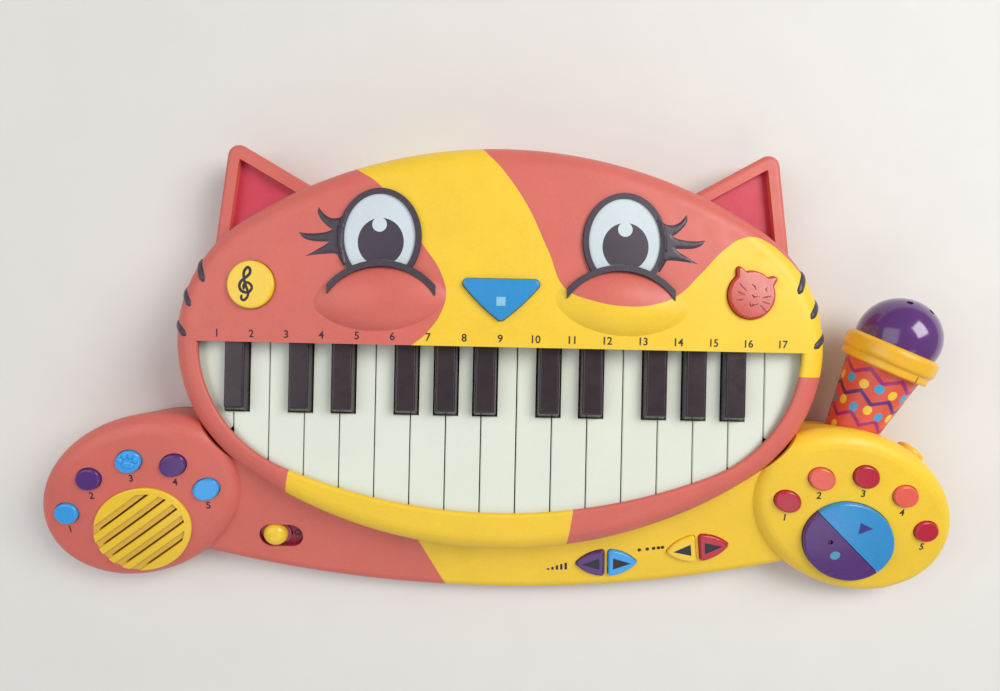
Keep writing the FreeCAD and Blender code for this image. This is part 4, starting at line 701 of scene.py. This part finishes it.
def inside_loops(loops, points):
    """Even-odd test of points against closed loops."""
    found = np.zeros(len(points), bool)
    px, py = points[:, 0], points[:, 1]
    for loop in loops:
        a = np.asarray(loop, float)
        b = np.roll(a, -1, 0)
        for (ax, ay), (bx, by) in zip(a, b):
            if ay == by:
                continue
            cross = (ay > py) != (by > py)
            found ^= cross & (px < (bx - ax) * (py - ay) / (by - ay) + ax)
    return found


def line_distance(loops, points):
    """Distance of each point from the loops' lines."""
    best = np.full(len(points), np.inf)
    for loop in loops:
        a = np.asarray(loop, float)
        b = np.roll(a, -1, 0)
        for p, q in zip(a, b):
            d = q - p
            t = np.clip(((points - p) @ d) / max(d @ d, LEAST_LENGTH), 0, 1)
            best = np.minimum(best, np.linalg.norm(points - (p + t[:, None] * d), axis=1))
    return best


def filled(loops, step):
    """Triangles that fill closed loops, with inner points about a step apart."""
    border = [tuple(p) for loop in loops for p in loop]
    edges, start = [], 0
    for loop in loops:
        count = len(loop)
        edges += [(start + i, start + (i + 1) % count) for i in range(count)]
        start += count
    every = np.array(border)
    xs = np.arange(every[:, 0].min(), every[:, 0].max(), step) + step / 2
    ys = np.arange(every[:, 1].min(), every[:, 1].max(), step) + step / 2
    grid = np.array([(x, y) for x in xs for y in ys]).reshape(-1, 2)
    if len(grid):
        grid = grid[inside_loops(loops, grid)]
    if len(grid):
        grid = grid[line_distance(loops, grid) > step * GRID_CLEARANCE]
    points = [Vector(p) for p in border] + [Vector(p) for p in grid]
    made = delaunay_2d_cdt(points, edges, [], 0, MERGE_DISTANCE)
    flat = np.array([tuple(p) for p in made[0]])
    faces = [tuple(f) for f in made[2]]
    middles = np.array([flat[list(f)].mean(0) for f in faces])
    keep = inside_loops(loops, middles)
    return flat, [f for f, k in zip(faces, keep) if k]


class Pile:
    """Collects meshes that become one piece."""

    def __init__(self):
        self.points = []
        self.faces = []

    def add(self, points, faces):
        start = len(self.points)
        self.points += [tuple(p) for p in points]
        self.faces += [tuple(i + start for i in face) for face in faces]

    def add_sheet(self, top, bottom, faces):
        """Adds a closed sheet between two copies of the same faces."""
        count = len(top)
        used = {(face[i - 1], face[i]) for face in faces for i in range(len(face))}
        shell = [tuple(face) for face in faces]
        shell += [tuple(i + count for i in reversed(face)) for face in faces]
        shell += [(b, a, a + count, b + count) for a, b in used if (b, a) not in used]
        self.add(top + bottom, shell)

    def piece(self, name, body, material):
        mesh = bpy.data.meshes.new(name)
        mesh.from_pydata([tuple(c * MM for c in p) for p in self.points], [], self.faces)
        mesh.validate()
        mesh.materials.append(material)
        mesh.shade_smooth()
        mesh.set_sharp_from_angle(angle=SHARP_ANGLE)
        thing = bpy.data.objects.new(name, mesh)
        bpy.context.scene.collection.objects.link(thing)
        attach(thing, body)


def on_surface(pile, node, loops, step, height=PRINT_HEIGHT, rounding=0.0):
    """Adds a closed sheet in the shape of the loops that lies on a node, round-edged if it has a rounding."""
    flat, faces = filled(loops, step)
    depth = line_distance(loops, flat)
    top, bottom = [], []
    for (x, y), inwards in zip(flat, depth):
        place, normal = surface_hit(node, x, y)
        lift = height
        if rounding:
            share = min(inwards / rounding, 1.0)
            arc = math.sqrt(max(0.0, 1 - (1 - share) ** 2))
            lift = height * (ROUND_EDGE_SHARE + (1 - ROUND_EDGE_SHARE) * arc)
        top.append(place + normal * lift)
        bottom.append(place - normal * SHEET_SINK)
    pile.add_sheet(top, bottom, faces)


def moved(points, x, y, turn=0.0):
    c, s = math.cos(turn), math.sin(turn)
    return [(x + u * c - v * s, y + u * s + v * c) for u, v in points]


def on_slope(points, x, y, turn=0.0):
    """Places in plan of points drawn on the sloping face around a point of it."""
    return [(x + u, y + v * math.cos(TILT)) for u, v in moved(points, 0.0, 0.0, turn)]


def ring(x, y, half_width, half_height=None, count=32, turn=0.0):
    """Points of an oval, or of a circle if it has one size."""
    half_height = half_height or half_width
    angles = [math.tau * i / count for i in range(count)]
    return moved([(half_width * math.cos(a), half_height * math.sin(a)) for a in angles], x, y, turn)


def smooth_line(points, count):
    """Points along the smooth curve through the given ones."""
    p = np.asarray(points, float)
    padded = np.vstack([2 * p[0] - p[1], p, 2 * p[-1] - p[-2]])
    spans = len(p) - 1
    made = []
    for t in np.linspace(0, spans, count):
        i = min(int(t), spans - 1)
        f = t - i
        a, b, c, d = padded[i:i + 4]
        made.append(0.5 * (2 * b + (c - a) * f + (2 * a - 5 * b + 4 * c - d) * f ** 2
                           + (3 * b - a - 3 * c + d) * f ** 3))
    return np.array(made)


def bead_row(node, middle, beside, half, height):
    """Points of one round cross-section of a bead, and its root under the surface."""
    row = []
    for k in range(BEAD_STEPS):
        a = math.pi * k / (BEAD_STEPS - 1)
        place, normal = surface_hit(node, *(middle + beside * half * math.cos(a)))
        row.append(place + normal * (height * math.sin(a) - BEAD_SINK))
    place, normal = surface_hit(node, *middle)
    row.append(place - normal * BEAD_ROOT)
    return row


def bead(pile, node, points, widths, height, count):
    """Adds a rounded raised line on a node along the curve through the points."""
    path = smooth_line(points, count)
    half = np.interp(np.linspace(0, 1, count), np.linspace(0, 1, len(widths)), widths) / 2
    ahead = np.gradient(path, axis=0)
    ahead /= np.linalg.norm(ahead, axis=1)[:, None]
    beside = np.stack([-ahead[:, 1], ahead[:, 0]], 1)
    low = height * BEAD_END_RISE
    rows = [bead_row(node, path[0] - ahead[0] * half[0], beside[0], half[0] * BEAD_END_WIDTH, low)]
    rows += [bead_row(node, p, b, h, height) for p, b, h in zip(path, beside, half)]
    rows.append(bead_row(node, path[-1] + ahead[-1] * half[-1], beside[-1], half[-1] * BEAD_END_WIDTH, low))
    size = BEAD_STEPS + 1
    faces = []
    for i in range(len(rows) - 1):
        for k in range(size):
            a, b = i * size + k, i * size + (k + 1) % size
            faces.append((a, b, b + size, a + size))
    faces.append(tuple(reversed(range(size))))
    faces.append(tuple(range((len(rows) - 1) * size, len(rows) * size)))
    pile.add([q for row in rows for q in row], faces)


def number_faces(words, size, bold):
    """Points and faces of plain numbers in the built-in font."""
    curve = bpy.data.curves.new("number", "FONT")
    curve.body = words
    curve.size = size
    curve.align_x = "CENTER"
    curve.align_y = "CENTER"
    curve.offset = bold
    curve.resolution_u = NUMBER_RESOLUTION
    holder = bpy.data.objects.new("number", curve)
    bpy.context.scene.collection.objects.link(holder)
    mesh = bpy.data.meshes.new_from_object(holder.evaluated_get(bpy.context.evaluated_depsgraph_get()))
    points = [(v.co.x, v.co.y) for v in mesh.vertices]
    faces = [tuple(p.vertices) for p in mesh.polygons]
    bpy.data.objects.remove(holder)
    bpy.data.meshes.remove(mesh)
    bpy.data.curves.remove(curve)
    return points, faces


def signed_area(points):
    """Twice the area of a polygon, negative where it runs clockwise."""
    return sum(a[0] * b[1] - b[0] * a[1] for a, b in zip(points[-1:] + points[:-1], points))


def number(pile, node, words, x, y, size, bold):
    """Adds plain printed numbers that lie on a node."""
    points, faces = number_faces(words, size, bold)
    xs = [p[0] for p in points]
    ys = [p[1] for p in points]
    centred = moved(points, -(min(xs) + max(xs)) / 2, -(min(ys) + max(ys)) / 2)
    top, bottom = [], []
    for u, v in moved(centred, x, y):
        place, normal = surface_hit(node, u, v)
        top.append(place + normal * NUMBER_HEIGHT)
        bottom.append(place - normal * NUMBER_SINK)
    upwards = [face if signed_area([centred[i] for i in face]) > 0 else face[::-1] for face in faces]
    pile.add_sheet(top, bottom, upwards)


def pupil_loop(side):
    """Outline of a pupil, cut off by the lid below it."""
    lid_x = side * LID_X
    least = LID_RADIUS + PUPIL_LID_GAP
    outline = []
    for u, v in ring(side * PUPIL_X + PUPIL_SHIFT, PUPIL_Y, PUPIL_HALF_WIDTH, PUPIL_HALF_HEIGHT, count=72):
        push = max(1.0, least / math.hypot(u - lid_x, v - LID_Y))
        outline.append((lid_x + (u - lid_x) * push, LID_Y + (v - LID_Y) * push))
    return outline


def make_eye(side, name):
    """Pupil of an eye and the round light that covers part of its top."""
    pile = Pile()
    on_surface(pile, "head_cover", [pupil_loop(side)], step=1.2)
    pile.piece(f"pupil_{name}", "base", DARK_FINISH)
    pile = Pile()
    light = ring(side * EYE_LIGHT_X, EYE_LIGHT_Y, EYE_LIGHT_RADIUS)
    on_surface(pile, "head_cover", [light], step=1.0, height=EYE_LIGHT_HEIGHT)
    pile.piece(f"eye_light_{name}", "base", EYE_FINISH)


def make_lashes(side, name):
    """Three lashes on a web at the outer side of an eye, an outline that is smooth between its corners."""
    lashes = [(89.6, 76.7), (92.6, 72.9), (95.7, 72.0), (98.9, 72.2), (102.1, 74.0), (104.3, 76.2),
              (105.9, 78.4), (106.2, 75.2), (104.8, 72.1), (102.2, 69.0), (99.0, 66.5), (97.5, 65.6),
              (101.1, 64.0), (106.8, 63.2), (112.5, 63.1), (117.0, 63.7), (114.3, 60.6), (109.8, 58.9),
              (104.1, 58.5), (99.2, 58.5), (102.5, 55.9), (107.1, 53.3), (110.9, 51.1), (113.2, 50.0),
              (107.7, 50.8), (101.4, 51.5), (97.0, 51.7), (94.5, 51.3), (92.9, 48.5), (90.6, 44.8),
              (89.1, 46.7), (90.5, 53.6), (91.3, 59.8), (90.5, 67.3), (88.5, 73.6)]
    corners = (6, 11, 15, 19, 23, 29)
    outline = []
    for first, last in zip(corners, corners[1:] + (corners[0] + len(lashes),)):
        run = [lashes[i % len(lashes)] for i in range(first, last + 1)]
        outline += [tuple(p) for p in smooth_line(run, LASH_FINENESS * len(run))[:-1]]
    pile = Pile()
    loop = [(side * x, y) for x, y in outline]
    on_surface(pile, "head_cover", [loop], step=1.1, height=LASH_HEIGHT, rounding=LASH_ROUNDING)
    pile.piece(f"lashes_{name}", "base", DARK_FINISH)


def make_whiskers(side, name):
    """Three short whiskers on one side of the head."""
    whiskers = (((178.6, 48.2), (173.6, 36.2)), ((188.2, 31.2), (182.0, 21.8)), ((192.0, 10.6), (185.0, 4.2)))
    pile = Pile()
    for a, b in whiskers:
        middle = ((a[0] + b[0]) / 2, (a[1] + b[1]) / 2)
        line = [(side * p[0], p[1]) for p in (a, middle, b)]
        bead(pile, "head_cover", line, WHISKER_WIDTHS, WHISKER_HEIGHT, count=16)
    pile.piece(f"whiskers_{name}", "base", DARK_FINISH)


def make_numbers():
    """Plain numbers over the keys and under the pod buttons."""
    pile = Pile()
    for index in range(KEY_COUNT):
        x = (index - (KEY_COUNT - 1) / 2) * KEY_PITCH * KEY_NUMBER_SPREAD
        number(pile, "head_cover", str(index + 1), x, KEY_NUMBER_Y, KEY_NUMBER_SIZE, KEY_NUMBER_BOLD)
    pile.piece("key_numbers", "base", INK_FINISH)
    for name in ("instrument", "rhythm"):
        pile = Pile()
        for index in range(1, POD_BUTTONS + 1):
            low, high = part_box(f"{name}_button_{index}")
            x = (low.x + high.x) / 2 / MM
            y = (low.y + high.y) / 2 / MM - POD_NUMBER_DROP
            number(pile, "body_cover", str(index), x, y, POD_NUMBER_SIZE, POD_NUMBER_BOLD)
        pile.piece(f"{name}_numbers", "base", INK_FINISH)


def make_clef():
    """Treble clef on the left cheek's button."""
    path = [(-1.2, -2.7), (-1.35, -0.9), (-0.3, 0.6), (1.35, 0.75), (3.3, -0.9), (3.4, -2.7), (1.95, -4.5),
            (-0.45, -4.8), (-2.56, -3.9), (-3.7, -1.8), (-3.4, 0.6), (-1.65, 2.7), (0.45, 4.2), (2.1, 6.0),
            (2.4, 8.1), (1.05, 9.6), (-0.45, 8.4), (-1.35, 6.3), (-1.05, 3.0), (-0.15, -0.6), (1.05, -3.6),
            (1.5, -5.4), (0.75, -7.8), (-1.05, -9.3), (-2.5, -8.4), (-2.5, -6.8)]
    pile = Pile()
    bead(pile, "clef_button", moved(path, *CLEF_PLACE), CLEF_WIDTHS, CLEF_HEIGHT, count=150)
    pile.piece("clef_sign", "clef_button", INK_FINISH)


def make_cat_face():
    """Raised whiskers, eyes, nose and mouth on the cat button."""
    lines = [
        [(-3.6, 2.4), (-5.6, 4.3), (-7.6, 6.2)], [(-4.5, 0.2), (-6.6, 0.9), (-8.7, 1.6)],
        [(-5.4, -2.7), (-7.0, -3.0), (-8.7, -3.2)], [(6.2, -1.4), (8.6, -1.0), (11.0, -0.4)],
        [(6.2, -3.7), (8.2, -4.4), (10.4, -5.0)], [(4.8, -5.8), (6.6, -7.6), (8.2, -9.2)],
        [(-1.7, -4.5), (-1.1, -6.0), (-0.2, -6.5), (0.7, -5.4), (1.6, -5.9), (3.2, -5.0)],
        [(8.6, 4.3), (7.8, 3.4), (8.4, 2.3)], [(-0.4, 6.0), (1.2, 4.9), (2.0, 3.0)],
    ]
    nose = [(-0.6, 0.2), (0.8, -1.9), (3.4, -0.6)]
    pile = Pile()
    for points in lines:
        bead(pile, "cat_button", moved(points, *CAT_PLACE), CAT_LINE_WIDTHS, CAT_LINE_HEIGHT, count=18)
    on_surface(pile, "cat_button", [moved(nose, *CAT_PLACE)], step=0.7, height=CAT_NOSE_HEIGHT,
               rounding=CAT_NOSE_ROUNDING)
    pile.piece("cat_face", "cat_button", CAT_LINE_FINISH)


def make_paw():
    """Raised paw on the middle button of the left pod; a pad is a place, two half sizes and a turn."""
    pads = ((-4.6, 0.2, 1.5, 1.9, 0.5), (-1.9, 3.0, 1.6, 1.9, 0.2), (1.7, 3.1, 1.6, 1.9, -0.2),
            (4.4, 0.6, 1.5, 1.9, -0.5), (-0.1, -2.4, 3.8, 2.4, 0.0))
    low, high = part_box("instrument_button_3")
    x = (low.x + high.x) / 2 / MM + PAW_SHIFT
    y = high.y / MM - PAW_DROP
    pile = Pile()
    for u, v, wide, tall, turn in pads:
        pad = ring(x + u, y + v, wide, tall, count=28, turn=turn)
        on_surface(pile, "instrument_button_3", [pad], step=0.55, height=PAW_HEIGHT, rounding=PAW_ROUNDING)
    pile.piece("paw_sign", "instrument_button_3", SKY_FINISH)


def make_arrows():
    """Arrows on the two halves of each pair of buttons."""
    for name, (x, y, turn) in PAIRS:
        for side, half in ((-1, "down"), (1, "up")):
            node = f"{name}_{half}_button"
            base = side * ARROW_BASE
            arrow = [(base, -ARROW_HALF), (side * ARROW_TIP, 0.0), (base, ARROW_HALF)]
            pile = Pile()
            on_surface(pile, node, [on_slope(arrow, x, y - PAIR_CAP * math.sin(TILT), turn)], step=1.4)
            pile.piece(f"{name}_{half}_arrow", node, ARROW_FINISH)


def make_bar_signs():
    """Rising bars beside the volume pair, dots beside the tempo pair and a ring in the switch slot."""
    pile = Pile()
    for index in range(BAR_COUNT):
        left = BAR_FIRST + BAR_PITCH * index
        right = left + BAR_WIDTH
        top = BAR_LEAST + BAR_GAIN * index + BAR_FOOT
        bar = [(left, BAR_FOOT), (right, BAR_FOOT), (right, top), (left, top)]
        on_surface(pile, "body_cover", [on_slope(bar, *BARS_PLACE)], step=1.5)
    for spot in DOT_SPOTS:
        dot = ring(spot, 0.0, DOT_RADIUS, count=20)
        on_surface(pile, "body_cover", [on_slope(dot, *DOTS_PLACE)], step=1.0)
    pile.piece("bar_signs", "base", INK_FINISH)
    pile = Pile()
    y = SWITCH_Y + SLOT_FLOOR * math.sin(TILT)
    loops = [ring(SWITCH_X + SWITCH_SIGN_SHIFT, y, radius) for radius in SWITCH_SIGN_RADII]
    on_surface(pile, "body_cover", loops, step=0.8, height=SWITCH_SIGN_HEIGHT)
    pile.piece("switch_sign", "base", INK_FINISH)


def make_disc_signs():
    """Triangle on the play half; dot and lamp on the record half; square on the nose."""
    triangle = [(-3.4, -4.0), (4.6, 0.0), (-3.4, 4.0)]
    pile = Pile()
    on_surface(pile, "play_button", [on_slope(triangle, *PLAY_PLACE)], step=1.4)
    pile.piece("play_sign", "play_button", PLAY_FINISH)
    pile = Pile()
    on_surface(pile, "record_button", [on_slope(ring(0.0, 0.0, RECORD_RADIUS), *RECORD_PLACE)], step=1.2)
    pile.piece("record_sign", "record_button", RECORD_FINISH)
    pile = Pile()
    lamp = on_slope(ring(0.0, 0.0, LAMP_RADIUS), *LAMP_PLACE)
    on_surface(pile, "record_button", [lamp], step=0.5, height=LAMP_HEIGHT, rounding=LAMP_ROUNDING)
    pile.piece("record_lamp", "record_button", LAMP_FINISH)
    pile = Pile()
    square = [(-STOP_HALF, STOP_LOW), (STOP_HALF, STOP_LOW), (STOP_HALF, STOP_HIGH), (-STOP_HALF, STOP_HIGH)]
    on_surface(pile, "nose_button", [square], step=1.3)
    pile.piece("stop_sign", "nose_button", STOP_FINISH)


def make_floor():
    """Plain pale floor under the toy."""
    far = FLOOR_REACH
    mesh = bpy.data.meshes.new("floor")
    mesh.from_pydata([(-far, -far, 0), (far, -far, 0), (far, far, 0), (-far, far, 0)], [], [(0, 1, 2, 3)])
    mesh.materials.append(FLOOR_FINISH)
    floor = bpy.data.objects.new("floor", mesh)
    bpy.context.scene.collection.objects.link(floor)


def softbox(name, place, size, power, colour):
    """Rectangular light that faces the toy."""
    lamp = bpy.data.lights.new(name, "AREA")
    lamp.shape = "RECTANGLE"
    lamp.size, lamp.size_y = size
    lamp.energy = power
    lamp.color = colour
    thing = bpy.data.objects.new(name, lamp)
    thing.location = place
    thing.rotation_euler = (Vector(LIGHT_AIM) - Vector(place)).to_track_quat("-Z", "Y").to_euler()
    bpy.context.scene.collection.objects.link(thing)


def make_light():
    """Even pale surroundings and soft light, strongest from the upper right as in the photograph."""
    world = bpy.data.worlds.new("studio")
    world.use_nodes = True
    background = world.node_tree.nodes["Background"]
    background.inputs["Color"].default_value = WORLD_COLOUR
    background.inputs["Strength"].default_value = WORLD_STRENGTH
    bpy.context.scene.world = world
    for light in LIGHTS:
        softbox(*light)


def make_camera():
    """Camera straight above the toy, as in the photograph."""
    scene = bpy.context.scene
    scene.view_settings.view_transform = "Standard"
    camera = bpy.data.cameras.new("camera")
    camera.sensor_width = CAMERA_SENSOR
    camera.lens = CAMERA_LENS
    camera.clip_start = CAMERA_NEAR
    holder = bpy.data.objects.new("camera", camera)
    holder.location = CAMERA_PLACE
    holder.rotation_euler = (0.0, 0.0, CAMERA_TURN)
    scene.collection.objects.link(holder)
    scene.camera = holder


for side, name in SIDES:
    make_eye(side, name)
for side, name in SIDES:
    make_lashes(side, name)
    make_whiskers(side, name)
make_numbers()
make_clef()
make_cat_face()
make_paw()
make_arrows()
make_bar_signs()
make_disc_signs()
dress_nodes()
make_floor()
make_light()
make_camera()
